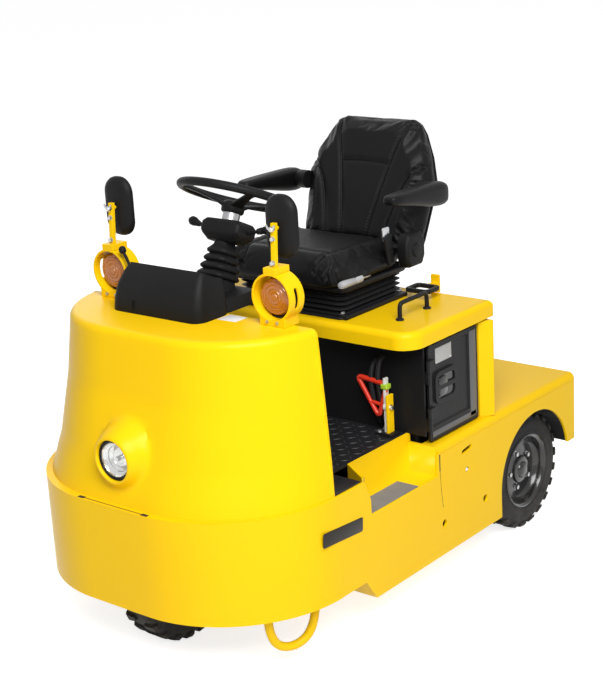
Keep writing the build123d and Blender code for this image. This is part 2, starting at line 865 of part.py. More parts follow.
# Belt reel on the left recliner and the buckle beside the cushion
# columns: x, inner face, thickness, length, low edge, height
belt_rows = (
    (seat_back_x + 30, seat_width / 2 + recliner, 44, 96, seat_low + 10, 104),
    (seat_back_x + 112, seat_width / 2, 16, 34, seat_low + 36, 112),
)
with BuildPart() as belt_units:
    for x, inner, thick, length, low, height in belt_rows:
        with BuildSketch(Plane.XZ.offset(-inner - thick)):
            with Locations((x, low + height / 2)):
                RectangleRounded(length, height, 14)
        extrude(amount=thick)
save(belt_units, "belt_units")

# Bent rod handle on the hood
rod_radius = 7
handle_y = hood_width / 2 - 122
handle_front = hood_front - 120
handle_back = hood_front - 263
handle_splay = 22
handle_rise = 52
with BuildPart() as hood_handle:
    with BuildLine() as bend:
        FilletPolyline(
            (handle_back, handle_y, hood_top),
            (handle_back + handle_splay, handle_y, hood_top + handle_rise),
            (handle_front - handle_splay, handle_y, hood_top + handle_rise),
            (handle_front, handle_y, hood_top),
            radius=16,
        )
    with BuildSketch(Plane(origin=bend.line @ 0, z_dir=bend.line % 0)):
        Circle(rod_radius)
    sweep()
    split(bisect_by=Plane.XY.offset(hood_top), keep=Keep.TOP)
save(hood_handle, "hood_handle")

# Release pull near the hood's rear edge: yellow post and black loop
pull_x = hood_back + 12
pull_y = seat_width / 2 + 35
pull_z = hood_top + 24
pull_length = 78
with BuildPart() as pull_post:
    with BuildSketch(Plane.XY.offset(hood_top)):
        with Locations((pull_x, pull_y)):
            Rectangle(10, 30)
    extrude(amount=58)
    with BuildSketch(Plane.XY.offset(pull_z)):
        with Locations((pull_x, pull_y)):
            Rectangle(34, 18, align=(Align.MIN, Align.CENTER))
    extrude(amount=10)
save(pull_post, "pull_post")

with BuildPart() as pull_loop:
    with BuildSketch(Plane.XY.offset(pull_z - 2)):
        with Locations((pull_x + 34, pull_y)):
            RectangleRounded(pull_length, 92, 18, align=(Align.MIN, Align.CENTER))
        with Locations((pull_x + 34 + 14, pull_y)):
            RectangleRounded(pull_length - 28, 64, 10, align=(Align.MIN, Align.CENTER), mode=Mode.SUBTRACT)
    extrude(amount=14)
save(pull_loop, "pull_loop")

# Parking brake: arm, bracket and red loop handle
brake_x = box_x + 39
brake_y = recess_y - 50
brake_foot = 10
brake_high = 172
with BuildPart() as brake_arm:
    with BuildSketch(Plane.XY.offset(floor_z)):
        with Locations((brake_x, brake_y)):
            Rectangle(46, 60)
    extrude(amount=brake_foot)
    with BuildSketch(Plane.XZ.offset(-brake_y - 16)):
        with Locations((brake_x, floor_z + brake_foot)):
            Rectangle(30, brake_high - 52, align=(Align.CENTER, Align.MIN))
    extrude(amount=8)
    with BuildSketch(Plane.XZ.offset(-brake_y - 4)):
        with Locations((brake_x, floor_z + brake_foot)):
            Rectangle(18, brake_high, align=(Align.CENTER, Align.MIN))
    extrude(amount=8)
    with BuildSketch(Plane.XZ.offset(-brake_y + 4)):
        with Locations((brake_x, floor_z + 90)):
            Circle(14)
    extrude(amount=-20)
save(brake_arm, "brake_arm")

with BuildPart() as brake_handle:
    with BuildSketch(Plane.YZ.offset(brake_x - 8)) as loop:
        with BuildLine():
            Polyline(
                (brake_y - 4, floor_z + brake_high - 24),
                (brake_y - 4, floor_z + brake_high + 4),
                (brake_y - 106, floor_z + brake_high + 20),
                (brake_y - 34, floor_z + brake_high - 96),
                close=True,
            )
        make_face()
        fillet(loop.vertices().sort_by(Axis.Y)[:2], 14)
        offset(amount=-13, mode=Mode.SUBTRACT)
    extrude(amount=16)
save(brake_handle, "brake_handle")

# Pedals on arms from the firewall
pedal_x = footwell_front - 86
pedal_z = floor_z + 90
pedal_slope = 35
pedal_face = (-cos(radians(pedal_slope)), 0, sin(radians(pedal_slope)))
# columns: y, pad width, pad height
pedal_rows = ((-170, 70, 120), (-40, 110, 70))
with BuildPart() as pedals:
    for y, wide, tall in pedal_rows:
        with BuildSketch(Plane(origin=(pedal_x, y, pedal_z), x_dir=(0, 1, 0), z_dir=pedal_face)):
            RectangleRounded(wide, tall, 12)
        extrude(amount=10)
        with BuildSketch(Plane.YZ.offset(pedal_x)):
            with Locations((y, pedal_z)):
                Rectangle(24, 16)
        extrude(amount=footwell_front - pedal_x)
save(pedals, "pedals")

# Drive axle: gear case, tubes and stubs, hung from the deck
tube_radius = 46
stub_start = rear_wheel_y - 74
stub_past = 16
gear_length = 250
gear_low = 112
gear_height = 230
hanger_y = stub_start - 80
hanger_wall = 20
with BuildPart() as drive_axle:
    with BuildSketch(Plane.XZ.offset(-stub_start)):
        with Locations((rear_axle_x, tyre_radius)):
            Circle(tube_radius)
    extrude(amount=2 * stub_start)
    with BuildSketch(Plane.XZ.offset(-rear_wheel_y - stub_past)):
        with Locations((rear_axle_x, tyre_radius)):
            Circle(shaft_radius)
    extrude(amount=2 * (rear_wheel_y + stub_past))
    with BuildSketch(Plane.XY.offset(gear_low)):
        with Locations((rear_axle_x, 0)):
            RectangleRounded(gear_length, gear_length, 40)
    extrude(amount=gear_height)
    for start in (-hanger_y - hanger_wall, hanger_y):
        with BuildSketch(Plane.XZ.offset(start)):
            with Locations((rear_axle_x, tyre_radius)):
                Rectangle(2 * tube_radius + 18, skin_top - tyre_radius, align=(Align.CENTER, Align.MIN))
        extrude(amount=hanger_wall)
save(drive_axle, "drive_axle")

# Steered fork
leg_gap = 16
leg_wall = 14
leg_top = 60
leg_foot = 36
leg_y = tyre_width / 2 + leg_gap
crown_z = 2 * tyre_radius + 18
crown = 27
with BuildPart() as steer_fork:
    with BuildSketch(Plane.XY.offset(crown_z)):
        with Locations((front_axle_x, 0)):
            RectangleRounded(2 * leg_top + 30, 2 * (leg_y + leg_wall), 20)
    extrude(amount=crown)
    with BuildSketch(Plane.XY.offset(crown_z)):
        with Locations((front_axle_x, 0)):
            Circle(stem_radius)
    extrude(amount=front_plate_z + front_plate + 2 * bearing_lip - 4 - crown_z)
    for side in (1, -1):
        with BuildSketch(Plane.XZ.offset(-side * (leg_y + leg_wall))):
            with BuildLine():
                Polyline(
                    (front_axle_x - leg_top, crown_z),
                    (front_axle_x + leg_top, crown_z),
                    (front_axle_x + leg_foot, tyre_radius - leg_foot + 6),
                    (front_axle_x - leg_foot, tyre_radius - leg_foot + 6),
                    close=True,
                )
            make_face()
        extrude(amount=side * leg_wall)
    with BuildSketch(Plane.XZ.offset(-leg_y - leg_wall)):
        with Locations((front_axle_x, tyre_radius)):
            Circle(shaft_radius)
    extrude(amount=2 * (leg_y + leg_wall))
save(steer_fork, "steer_fork")

# Wheels: tyre with shoulder lugs and dished rim
# columns: name, x, y, side of the hub cap
wheel_rows = (
    ("front", front_axle_x, 0, 1),
    ("rear_left", rear_axle_x, rear_wheel_y, 1),
    ("rear_right", rear_axle_x, -rear_wheel_y, -1),
)
for name, x, y, side in wheel_rows:
    centre = (x, y, tyre_radius)
    hub_axis = Axis(centre, (0, 1, 0))
    wheel_face = Plane(origin=centre, x_dir=(1, 0, 0), z_dir=(0, side, 0))
    with BuildPart() as tyre:
        with BuildSketch(Plane(origin=centre)):
            with BuildLine():
                Polyline(
                    (rim_radius, -rim_half),
                    (rim_radius, rim_half),
                    (rim_radius + bead, tyre_width / 2),
                    (tread_base - shoulder, tyre_width / 2),
                    (tread_base, tyre_width / 2 - shoulder),
                    (tread_base, shoulder - tyre_width / 2),
                    (tread_base - shoulder, -tyre_width / 2),
                    (rim_radius + bead, -tyre_width / 2),
                    close=True,
                )
            make_face()
        revolve(axis=hub_axis)
        for row, turn in ((1, 0), (-1, 180 / lug_count)):
            with BuildSketch(wheel_face.offset(row * (tyre_width / 2 - lug_inset))):
                with PolarLocations(tyre_radius, lug_count, start_angle=turn):
                    Rectangle(lug_depth, lug_length, align=(Align.MAX, Align.CENTER))
            extrude(amount=-row * lug_reach)
        with BuildSketch(wheel_face.offset(-tyre_width)):
            Circle(tyre_radius)
        extrude(amount=2 * tyre_width, mode=Mode.INTERSECT)
    save(tyre, name + "_tyre")

    with BuildPart() as rim:
        with BuildSketch(Plane(origin=centre)):
            with Locations((rim_radius - rim_wall, 0)):
                Rectangle(rim_wall, 2 * rim_half, align=(Align.MIN, Align.CENTER))
            with Locations((hub_radius - 4, side * 10)):
                Rectangle(rim_radius - hub_radius, 10, align=(Align.MIN, Align.CENTER))
            with Locations((shaft_radius + running_gap, 0)):
                Rectangle(hub_radius - shaft_radius, 70, align=(Align.MIN, Align.CENTER))
        revolve(axis=hub_axis)
        with BuildSketch(wheel_face.offset(15)):
            with PolarLocations(nut_circle, 5):
                RegularPolygon(nut_size, 6)
        extrude(amount=12)
    save(rim, name + "_rim")

# Tow coupling at the rear with a drop pin
hitch_reach = 56
hitch_depth = rear_axle_x - gear_length / 2 - tail_x - 21
jaw_height = 36
jaw_back = 12
jaw_pitch = 54
jaw_low = hitch_low + 18
jaw_top = jaw_low + 2 * jaw_pitch
pin_radius = 16
pin_x = tail_x - 30
with BuildPart() as tow_hitch:
    with BuildSketch(Plane.XY.offset(hitch_low)):
        with Locations((tail_x - hitch_reach, 0)):
            Rectangle(hitch_reach + hitch_depth, hitch_width, align=(Align.MIN, Align.CENTER))
    extrude(amount=hitch_high - hitch_low)
    with BuildSketch(Plane.XZ.offset(-hitch_width / 2)):
        for low in (jaw_low, jaw_low + jaw_pitch):
            with Locations((tail_x - hitch_reach, low)):
                Rectangle(hitch_reach + jaw_back, jaw_height, align=(Align.MIN, Align.MIN))
        with Locations((tail_x - hitch_reach, jaw_top)):
            Rectangle(hitch_reach + jaw_back, hitch_high, align=(Align.MIN, Align.MIN))
    extrude(amount=hitch_width, mode=Mode.SUBTRACT)
    with BuildSketch(Plane.XY.offset(hitch_low)):
        with Locations((pin_x, 0)):
            Circle(pin_radius + pin_gap)
    extrude(amount=hitch_high, mode=Mode.SUBTRACT)
save(tow_hitch, "tow_hitch")

with BuildPart() as hitch_pin:
    with BuildSketch(Plane.XY.offset(hitch_low - 12)):
        with Locations((pin_x, 0)):
            Circle(pin_radius)
    extrude(amount=150)
    with BuildSketch(Plane.XY.offset(jaw_top + pin_gap)):
        with Locations((pin_x, 0)):
            Circle(pin_radius + 7)
    extrude(amount=12)
    with BuildSketch(Plane.XZ.offset(-5)):
        with Locations((pin_x, jaw_top + 31)):
            Circle(22)
            Circle(14, mode=Mode.SUBTRACT)
    extrude(amount=10)
save(hitch_pin, "hitch_pin")

# Round tail lamps on the rear plate
with BuildPart() as tail_lamps:
    with BuildSketch(Plane.YZ.offset(tail_x)):
        with GridLocations(2 * (half - 114), 0, 2, 1):
            with Locations((0, skin_top - 74)):
                Circle(42)
    extrude(amount=-24)
    fillet(tail_lamps.edges().group_by(Axis.X)[0], 8)
save(tail_lamps, "tail_lamps")

# Tie-down loops inside the front corners of the skirt
loop_radius = 13
loop_low = 84
loop_top = 230
loop_ring = skirt_corner - skirt_wall - loop_radius
# columns: inset from the skirt, angle round its corner, height
loop_rows = ((0, 80, loop_top), (14, 74, loop_low), (14, 60, loop_low), (0, 54, loop_top))
loop_points = [
    (
        nose_x - skirt_corner + (loop_ring - inset) * cos(radians(angle)),
        half - skirt_corner + (loop_ring - inset) * sin(radians(angle)),
        height,
    )
    for inset, angle, height in loop_rows
]
with BuildPart() as tie_downs:
    with BuildLine() as loop_path:
        FilletPolyline(*loop_points, radius=26)
    with BuildSketch(Plane(origin=loop_path.line @ 0, z_dir=loop_path.line % 0)):
        Circle(loop_radius)
    sweep()
    mirror(about=Plane.XZ)
save(tie_downs, "tie_downs")
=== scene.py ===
"""Dressing for a three-wheeled airport tow tractor: finishes, seat, wheels, controls, lamps and stage."""
import json
from math import cos, pi, radians, sin

import bmesh
import bpy
from bpy.props import FloatProperty, FloatVectorProperty, IntProperty, PointerProperty
from mathutils import Matrix, Vector
from mathutils.bvhtree import BVHTree
from mathutils.kdtree import KDTree


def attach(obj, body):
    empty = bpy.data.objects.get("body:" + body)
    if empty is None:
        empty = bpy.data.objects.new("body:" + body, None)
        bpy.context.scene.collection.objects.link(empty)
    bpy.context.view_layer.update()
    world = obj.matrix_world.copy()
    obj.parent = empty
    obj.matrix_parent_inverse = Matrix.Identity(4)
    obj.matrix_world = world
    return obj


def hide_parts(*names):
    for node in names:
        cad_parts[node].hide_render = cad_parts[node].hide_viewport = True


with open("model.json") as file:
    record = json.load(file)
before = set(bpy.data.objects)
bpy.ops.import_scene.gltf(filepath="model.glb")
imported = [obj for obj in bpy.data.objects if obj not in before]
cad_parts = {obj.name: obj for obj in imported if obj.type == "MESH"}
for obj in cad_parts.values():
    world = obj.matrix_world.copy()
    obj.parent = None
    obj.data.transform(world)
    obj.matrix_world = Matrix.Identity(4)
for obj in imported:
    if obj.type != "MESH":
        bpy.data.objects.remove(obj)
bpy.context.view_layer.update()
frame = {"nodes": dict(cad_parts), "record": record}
cad = frame["nodes"]
home = {node: body for body, nodes in frame["record"]["behaviour"]["bodies"].items() for node in nodes}

bl_info = {
    "name": "Tow tractor dressing",
    "version": (1, 0, 0),
    "blender": (4, 5, 0),
    "location": "View3D > Sidebar > Tow tractor",
    "description": "Finishes and fine pieces for a packed airport tow tractor",
    "category": "Object",
}

finishes = {}
effects = {}
trees = {}


# Sizes and colours that a user would change


def colour(label, text, value):
    """A linear colour setting."""
    return FloatVectorProperty(
        name=label, description=text, subtype="COLOR", size=3, min=0, max=1, default=value
    )


def length(label, text, value):
    """A length setting in metres."""
    return FloatProperty(
        name=label, description=text, subtype="DISTANCE", unit="LENGTH", min=0, default=value
    )


class TowPaint(bpy.types.PropertyGroup):
    """Colours of the painted and moulded surfaces."""

    yellow: colour("Yellow", "Body paint", (0.93, 0.60, 0.004))
    yellow_deep: colour("Deep yellow", "Body paint where the coat is thicker", (0.88, 0.53, 0.004))
    black: colour("Black paint", "Satin paint on frames and doors", (0.0085, 0.0085, 0.0095))
    plastic: colour("Plastic", "Moulded black plastic", (0.0065, 0.0065, 0.0070))
    vinyl: colour("Vinyl", "Seat cover", (0.0032, 0.0032, 0.0035))
    rubber: colour("Rubber", "Tyres", (0.012, 0.012, 0.013))
    red: colour("Red", "Parking brake loop", (0.68, 0.035, 0.014))
    amber: colour("Amber", "Indicator lenses", (0.62, 0.20, 0.016))
    dust: colour("Dust", "Road dust on low parts", (0.30, 0.27, 0.22))
    edge: length("Edge radius", "Easing on sheet edges", 0.0016)


class TowSeat(bpy.types.PropertyGroup):
    """Shape of the driver's seat."""

    voxel: length("Voxel", "Remesh size of the pads", 0.006)
    pressure: FloatProperty(
        name="Pressure", description="Cloth pressure in the pads", min=0, max=20, default=4.0
    )
    frames: IntProperty(name="Frames", description="Frames that the cloth is run for", min=2, default=20)
    swell: length("Swell", "Furthest a pad's skin may move", 0.014)
    piping: length("Piping", "Radius of the seam piping", 0.0022)
    stitch: length("Stitch", "Distance between stitches", 0.011)


class TowWheels(bpy.types.PropertyGroup):
    """Tread and wheel fittings."""

    lugs: IntProperty(name="Lugs", description="Shoulder lugs in a row", min=8, max=60, default=22)
    nuts: IntProperty(name="Nuts", description="Wheel nuts", min=3, max=12, default=5)
    nut_circle: length("Nut circle", "Radius of the circle of nuts", 0.062)


class TowFloor(bpy.types.PropertyGroup):
    """Raised pattern of the footwell plate."""

    pitch: length("Pitch", "Distance between raised lozenges", 0.032)
    mark: length("Mark", "Length of a raised lozenge", 0.026)


class TowStage(bpy.types.PropertyGroup):
    """Floor, lights and camera."""

    floor: colour("Floor", "Studio floor", (0.86, 0.86, 0.86))
    key: FloatProperty(
        name="Key light", description="Power of the key light", unit="POWER", min=0, default=315
    )
    fill: FloatProperty(
        name="Fill light", description="Power of the fill light", unit="POWER", min=0, default=22
    )
    sky: FloatProperty(name="Sky", description="Strength of the surrounding light", min=0, default=0.22)
    lens: FloatProperty(name="Lens", description="Focal length in millimetres", min=10, default=79.39)


# Small makers of meshes; places are given in millimetres


def at(x, y, z):
    """A point given in millimetres."""
    return Vector((x, y, z)) / 1000


def axes(origin, z_axis, x_axis):
    """A placing matrix from its origin in millimetres, its Z axis and a guide for X."""
    z = Vector(z_axis).normalized()
    y = z.cross(Vector(x_axis)).normalized()
    x = y.cross(z)
    m = Matrix((x, y, z)).transposed().to_4x4()
    m.translation = at(*origin)
    return m


def rounded(wide, tall, radius, steps=5):
    """A rectangle with round corners as a ring of flat points."""
    ring = []
    for cx, cy, start in ((1, 1, 0), (-1, 1, 90), (-1, -1, 180), (1, -1, 270)):
        for k in range(steps + 1):
            a = radians(start + 90 * k / steps)
            ring.append(
                (cx * (wide / 2 - radius) + radius * cos(a), cy * (tall / 2 - radius) + radius * sin(a))
            )
    return ring


def bridge(bm, rings, caps=True, loop=False):
    """Skin a list of closed point rings."""
    rows = [[bm.verts.new(p) for p in ring] for ring in rings]
    n = len(rows[0])
    pairs = list(zip(rows, rows[1:])) + ([(rows[-1], rows[0])] if loop else [])
    for low, high in pairs:
        for i in range(n):
            j = (i + 1) % n
            bm.faces.new((low[i], low[j], high[j], high[i]))
    if caps and not loop:
        bm.faces.new(rows[0][::-1])
        bm.faces.new(rows[-1])
    return rows


def loft(bm, place, sections):
    """Skin flat rings (ring, height) stacked along a placing matrix's Z axis."""
    return bridge(bm, [[place @ (Vector((x, y, h)) / 1000) for x, y in ring] for ring, h in sections])


def turn(bm, place, profile, steps=40, loop=False):
    """Spin a profile of (radius, height) round a placing matrix's Z axis."""
    rows = []
    for k in range(steps):
        a = 2 * pi * k / steps
        rows.append([bm.verts.new(place @ (Vector((r * cos(a), r * sin(a), h)) / 1000)) for r, h in profile])
    n = len(profile)
    for k in range(steps):
        one, two = rows[k], rows[(k + 1) % steps]
        for i in range(n if loop else n - 1):
            j = (i + 1) % n
            bm.faces.new((one[i], two[i], two[j], one[j]))


def sweep(bm, path, radius, sides=10, loop=False):
    """A round bar along points in metres."""
    n = len(path)
    normal = None
    rings = []
    for i, p in enumerate(path):
        ahead = path[(i + 1) % n] if loop or i < n - 1 else p
        behind = path[i - 1] if loop or i > 0 else p
        t = (ahead - behind).normalized()
        if normal is None:
            normal = t.orthogonal().normalized()
        normal = (normal - t * normal.dot(t)).normalized()
        side = t.cross(normal)
        rings.append(
            [
                p + radius * (normal * cos(2 * pi * k / sides) + side * sin(2 * pi * k / sides))
                for k in range(sides)
            ]
        )
    bridge(bm, rings, loop=loop)


def round_path(points, radius, steps=6):
    """A closed path with its corners rounded."""
    path = []
    for i, p in enumerate(points):
        one = (points[i - 1] - p).normalized() * radius
        two = (points[(i + 1) % len(points)] - p).normalized() * radius
        for k in range(steps + 1):
            t = k / steps
            path.append(p + one * (1 - t) ** 2 + two * t * t)
    return path


def block(bm, low, high, place=Matrix.Identity(4)):
    """A box between two corners in millimetres."""
    made = bmesh.ops.create_cube(bm, size=1)["verts"]
    size = Vector(high) - Vector(low)
    mid = (Vector(high) + Vector(low)) / 2
    for v in made:
        v.co = place @ (
            Vector((mid.x + v.co.x * size.x, mid.y + v.co.y * size.y, mid.z + v.co.z * size.z)) / 1000
        )


def slab(bm, place, ring, low, high):
    """A flat outline given thickness along a placing matrix's Z axis."""
    loft(bm, place, ((ring, low), (ring, high)))


def curve_points(points, steps=8):
    """Smooth points along a few guide points, read from a NURBS curve."""
    data = bpy.data.curves.new("guide", "CURVE")
    data.dimensions = "3D"
    data.resolution_u = steps
    spline = data.splines.new("NURBS")
    spline.points.add(len(points) - 1)
    for target, p in zip(spline.points, points):
        target.co = (*p, 1)
    spline.order_u = 4 if len(points) > 3 else 3
    spline.use_endpoint_u = True
    obj = bpy.data.objects.new("guide", data)
    bpy.context.scene.collection.objects.link(obj)
    bpy.context.view_layer.update()
    mesh = bpy.data.meshes.new_from_object(obj.evaluated_get(bpy.context.evaluated_depsgraph_get()))
    line = [v.co.copy() for v in mesh.vertices]
    bpy.data.objects.remove(obj)
    return line


# Turning meshes into pieces


def settle(obj):
    """Fix an object's modifiers into its mesh."""
    bpy.context.view_layer.update()
    mesh = bpy.data.meshes.new_from_object(obj.evaluated_get(bpy.context.evaluated_depsgraph_get()))
    obj.modifiers.clear()
    obj.data = mesh
    return obj


def dress(obj, coats, body, replaces=(), smooth=35):
    """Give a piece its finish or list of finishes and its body."""
    mesh = obj.data
    if isinstance(coats, str):
        coats = [coats]
    mesh.materials.clear()
    for name in coats:
        mesh.materials.append(finishes[name])
    if smooth is not None:
        mesh.shade_smooth()
        mesh.set_sharp_from_angle(angle=radians(smooth))
    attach(obj, body)
    if replaces:
        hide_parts(*replaces)
    return obj


def piece(name, bm, coats, body, replaces=(), ease=0.0, rounds=2, subdivide=0, smooth=35):
    """Finish a mesh in the making and dress it."""
    bmesh.ops.remove_doubles(bm, verts=bm.verts[:], dist=1e-6)
    bmesh.ops.recalc_face_normals(bm, faces=bm.faces[:])
    mesh = bpy.data.meshes.new(name)
    bm.to_mesh(mesh)
    bm.free()
    obj = bpy.data.objects.new(name, mesh)
    bpy.context.scene.collection.objects.link(obj)
    if ease:
        add_bevel(obj, ease, rounds)
    if subdivide:
        smoothing = obj.modifiers.new("smooth", "SUBSURF")
        smoothing.levels = smoothing.render_levels = subdivide
    if ease or subdivide:
        settle(obj)
    return dress(obj, coats, body, replaces, smooth)


def add_bevel(obj, width, rounds):
    """Ease the edges of a piece."""
    bevel = obj.modifiers.new("ease", "BEVEL")
    bevel.width = width
    bevel.segments = rounds
    bevel.limit_method = "ANGLE"
    bevel.angle_limit = radians(32)
    bevel.use_clamp_overlap = True
    bevel.harden_normals = False


def eased(node, coats, width, rounds=2, smooth=35, pick=None):
    """A merged copy of a CAD node with eased edges, which stands in for it."""
    bm = bmesh.new()
    bm.from_mesh(cad[node].data)
    bmesh.ops.remove_doubles(bm, verts=bm.verts[:], dist=2e-6)
    bmesh.ops.dissolve_limit(
        bm, angle_limit=radians(1), verts=bm.verts[:], edges=bm.edges[:], delimit={"NORMAL"}
    )
    mesh = bpy.data.meshes.new(node + "_eased")
    bm.to_mesh(mesh)
    bm.free()
    obj = bpy.data.objects.new(node + "_eased", mesh)
    bpy.context.scene.collection.objects.link(obj)
    if width:
        add_bevel(obj, width, rounds)
        obj.modifiers["ease"].use_clamp_overlap = False
        settle(obj)
    obj.data.shade_smooth()
    obj.data.set_sharp_from_angle(angle=radians(smooth))
    even = obj.modifiers.new("even", "WEIGHTED_NORMAL")
    even.keep_sharp = True
    settle(obj)
    if pick:
        for face in obj.data.polygons:
            face.material_index = pick(face)
        chosen = [face.material_index for face in obj.data.polygons]
    dress(obj, coats, home[node], (node,), None)
    if pick:
        for face, index in zip(obj.data.polygons, chosen):
            face.material_index = index
    return obj


# Geometry trees for what repeats


def tree_ends(name, inputs):
    """An empty geometry tree with named inputs and its two end nodes."""
    tree = bpy.data.node_groups.new(name, "GeometryNodeTree")
    tree.interface.new_socket("Geometry", in_out="INPUT", socket_type="NodeSocketGeometry")
    for label, kind in inputs:
        tree.interface.new_socket(label, in_out="INPUT", socket_type=kind)
    tree.interface.new_socket("Geometry", in_out="OUTPUT", socket_type="NodeSocketGeometry")
    return tree, tree.nodes.new("NodeGroupInput"), tree.nodes.new("NodeGroupOutput")


def math_node(tree, operation, one, two):
    """A math node fed by sockets or numbers."""
    node = tree.nodes.new("ShaderNodeMath")
    node.operation = operation
    for socket, value in zip(node.inputs, (one, two)):
        if isinstance(value, (int, float)):
            socket.default_value = value
        else:
            tree.links.new(value, socket)
    return node.outputs[0]


def set_items(tree, start, end, points, rotation):
    """Put the item on points, make it real and give it its material."""
    info = tree.nodes.new("GeometryNodeObjectInfo")
    info.transform_space = "ORIGINAL"
    tree.links.new(start.outputs["Item"], info.inputs["Object"])
    put = tree.nodes.new("GeometryNodeInstanceOnPoints")
    tree.links.new(points, put.inputs["Points"])
    tree.links.new(info.outputs["Geometry"], put.inputs["Instance"])
    tree.links.new(rotation, put.inputs["Rotation"])
    real = tree.nodes.new("GeometryNodeRealizeInstances")
    tree.links.new(put.outputs["Instances"], real.inputs["Geometry"])
    coat = tree.nodes.new("GeometryNodeSetMaterial")
    tree.links.new(real.outputs["Geometry"], coat.inputs["Geometry"])
    tree.links.new(start.outputs["Material"], coat.inputs["Material"])
    tree.links.new(coat.outputs["Geometry"], end.inputs["Geometry"])


def ring_tree():
    """Items set round a circle, each turned to face outwards."""
    tree, start, end = tree_ends(
        "Items round a circle",
        (
            ("Count", "NodeSocketInt"), ("Radius", "NodeSocketFloat"), ("Item", "NodeSocketObject"),
            ("Material", "NodeSocketMaterial"),
        ),
    )
    circle = tree.nodes.new("GeometryNodeMeshCircle")
    tree.links.new(start.outputs["Count"], circle.inputs["Vertices"])
    tree.links.new(start.outputs["Radius"], circle.inputs["Radius"])
    index = tree.nodes.new("GeometryNodeInputIndex")
    angle = math_node(
        tree, "MULTIPLY", index.outputs[0], math_node(tree, "DIVIDE", 2 * pi, start.outputs["Count"])
    )
    spin = tree.nodes.new("ShaderNodeCombineXYZ")
    tree.links.new(angle, spin.inputs["Z"])
    euler = tree.nodes.new("FunctionNodeEulerToRotation")
    tree.links.new(spin.outputs[0], euler.inputs[0])
    set_items(tree, start, end, circle.outputs["Mesh"], euler.outputs[0])
    return tree


def field_tree():
    """Items set on a grid, turned left and right by turns."""
    tree, start, end = tree_ends(
        "Items on a field",
        (
            ("Length", "NodeSocketFloat"),
            ("Width", "NodeSocketFloat"),
            ("Rows", "NodeSocketInt"),
            ("Columns", "NodeSocketInt"),
            ("Item", "NodeSocketObject"),
            ("Material", "NodeSocketMaterial"),
        ),
    )
    grid = tree.nodes.new("GeometryNodeMeshGrid")
    for label, socket in (
        ("Length", "Size X"), ("Width", "Size Y"), ("Rows", "Vertices X"), ("Columns", "Vertices Y")
    ):
        tree.links.new(start.outputs[label], grid.inputs[socket])
    index = tree.nodes.new("GeometryNodeInputIndex")
    row = math_node(tree, "FLOOR", math_node(tree, "DIVIDE", index.outputs[0], start.outputs["Columns"]), 0)
    parity = math_node(tree, "MODULO", math_node(tree, "ADD", index.outputs[0], row), 2)
    angle = math_node(tree, "ADD", math_node(tree, "MULTIPLY", parity, pi / 2), pi / 4)
    spin = tree.nodes.new("ShaderNodeCombineXYZ")
    tree.links.new(angle, spin.inputs["Z"])
    euler = tree.nodes.new("FunctionNodeEulerToRotation")
    tree.links.new(spin.outputs[0], euler.inputs[0])
    set_items(tree, start, end, grid.outputs["Mesh"], euler.outputs[0])
    return tree


def places_tree():
    """Items set on given points, their Z axis along each point's facing."""
    tree, start, end = tree_ends(
        "Items at places", (("Item", "NodeSocketObject"), ("Material", "NodeSocketMaterial"))
    )
    facing = tree.nodes.new("GeometryNodeInputNamedAttribute")
    facing.data_type = "FLOAT_VECTOR"
    facing.inputs["Name"].default_value = "facing"
    align = tree.nodes.new("FunctionNodeAlignRotationToVector")
    align.axis = "Z"
    tree.links.new(facing.outputs["Attribute"], align.inputs["Vector"])
    set_items(tree, start, end, start.outputs["Geometry"], align.outputs[0])
    return tree


def seam_tree():
    """Stitches at even steps along a seam."""
    tree, start, end = tree_ends(
        "Stitches along a seam", (
            ("Step", "NodeSocketFloat"), ("Item", "NodeSocketObject"), ("Material", "NodeSocketMaterial")
        )
    )
    line = tree.nodes.new("GeometryNodeMeshToCurve")
    tree.links.new(start.outputs["Geometry"], line.inputs["Mesh"])
    even = tree.nodes.new("GeometryNodeResampleCurve")
    even.mode = "LENGTH"
    tree.links.new(line.outputs["Curve"], even.inputs["Curve"])
    tree.links.new(start.outputs["Step"], even.inputs["Length"])
    along = tree.nodes.new("GeometryNodeInputTangent")
    align = tree.nodes.new("FunctionNodeAlignRotationToVector")
    align.axis = "X"
    tree.links.new(along.outputs[0], align.inputs["Vector"])
    set_items(tree, start, end, even.outputs["Curve"], align.outputs[0])
    return tree


def grow(tree, values, item, seed=None):
    """Run a geometry tree on an item and give back a plain mesh."""
    mesh = bpy.data.meshes.new("item")
    bmesh.ops.recalc_face_normals(item, faces=item.faces[:])
    item.to_mesh(mesh)
    item.free()
    mesh.shade_smooth()
    mesh.set_sharp_from_angle(angle=radians(40))
    pattern = bpy.data.objects.new("item", mesh)
    obj = bpy.data.objects.new("grown", seed or bpy.data.meshes.new("grown"))
    for o in (pattern, obj):
        bpy.context.scene.collection.objects.link(o)
    nodes = obj.modifiers.new("grow", "NODES")
    nodes.node_group = tree
    for entry in tree.interface.items_tree:
        if entry.in_out == "INPUT" and entry.name == "Item":
            nodes[entry.identifier] = pattern
        elif entry.in_out == "INPUT" and entry.name in values:
            nodes[entry.identifier] = values[entry.name]
    bpy.context.view_layer.update()
    grown = bpy.data.meshes.new_from_object(obj.evaluated_get(bpy.context.evaluated_depsgraph_get()))
    for o in (pattern, obj):
        bpy.data.objects.remove(o)
    return grown


def places(rows):
    """A mesh of loose points, each with the way it faces, from rows of a place in millimetres and a way."""
    mesh = bpy.data.meshes.new("places")
    mesh.from_pydata([at(*p) for p, way in rows], [], [])
    facing = mesh.attributes.new("facing", "FLOAT_VECTOR", "POINT")
    for slot, (p, way) in zip(facing.data, rows):
        slot.vector = way
    return mesh


def fixed(name, mesh, coats, body, smooth=40):
    """Dress a plain mesh that a tree gave back."""
    obj = bpy.data.objects.new(name, mesh)
    bpy.context.scene.collection.objects.link(obj)
    return dress(obj, coats, body, smooth=smooth)


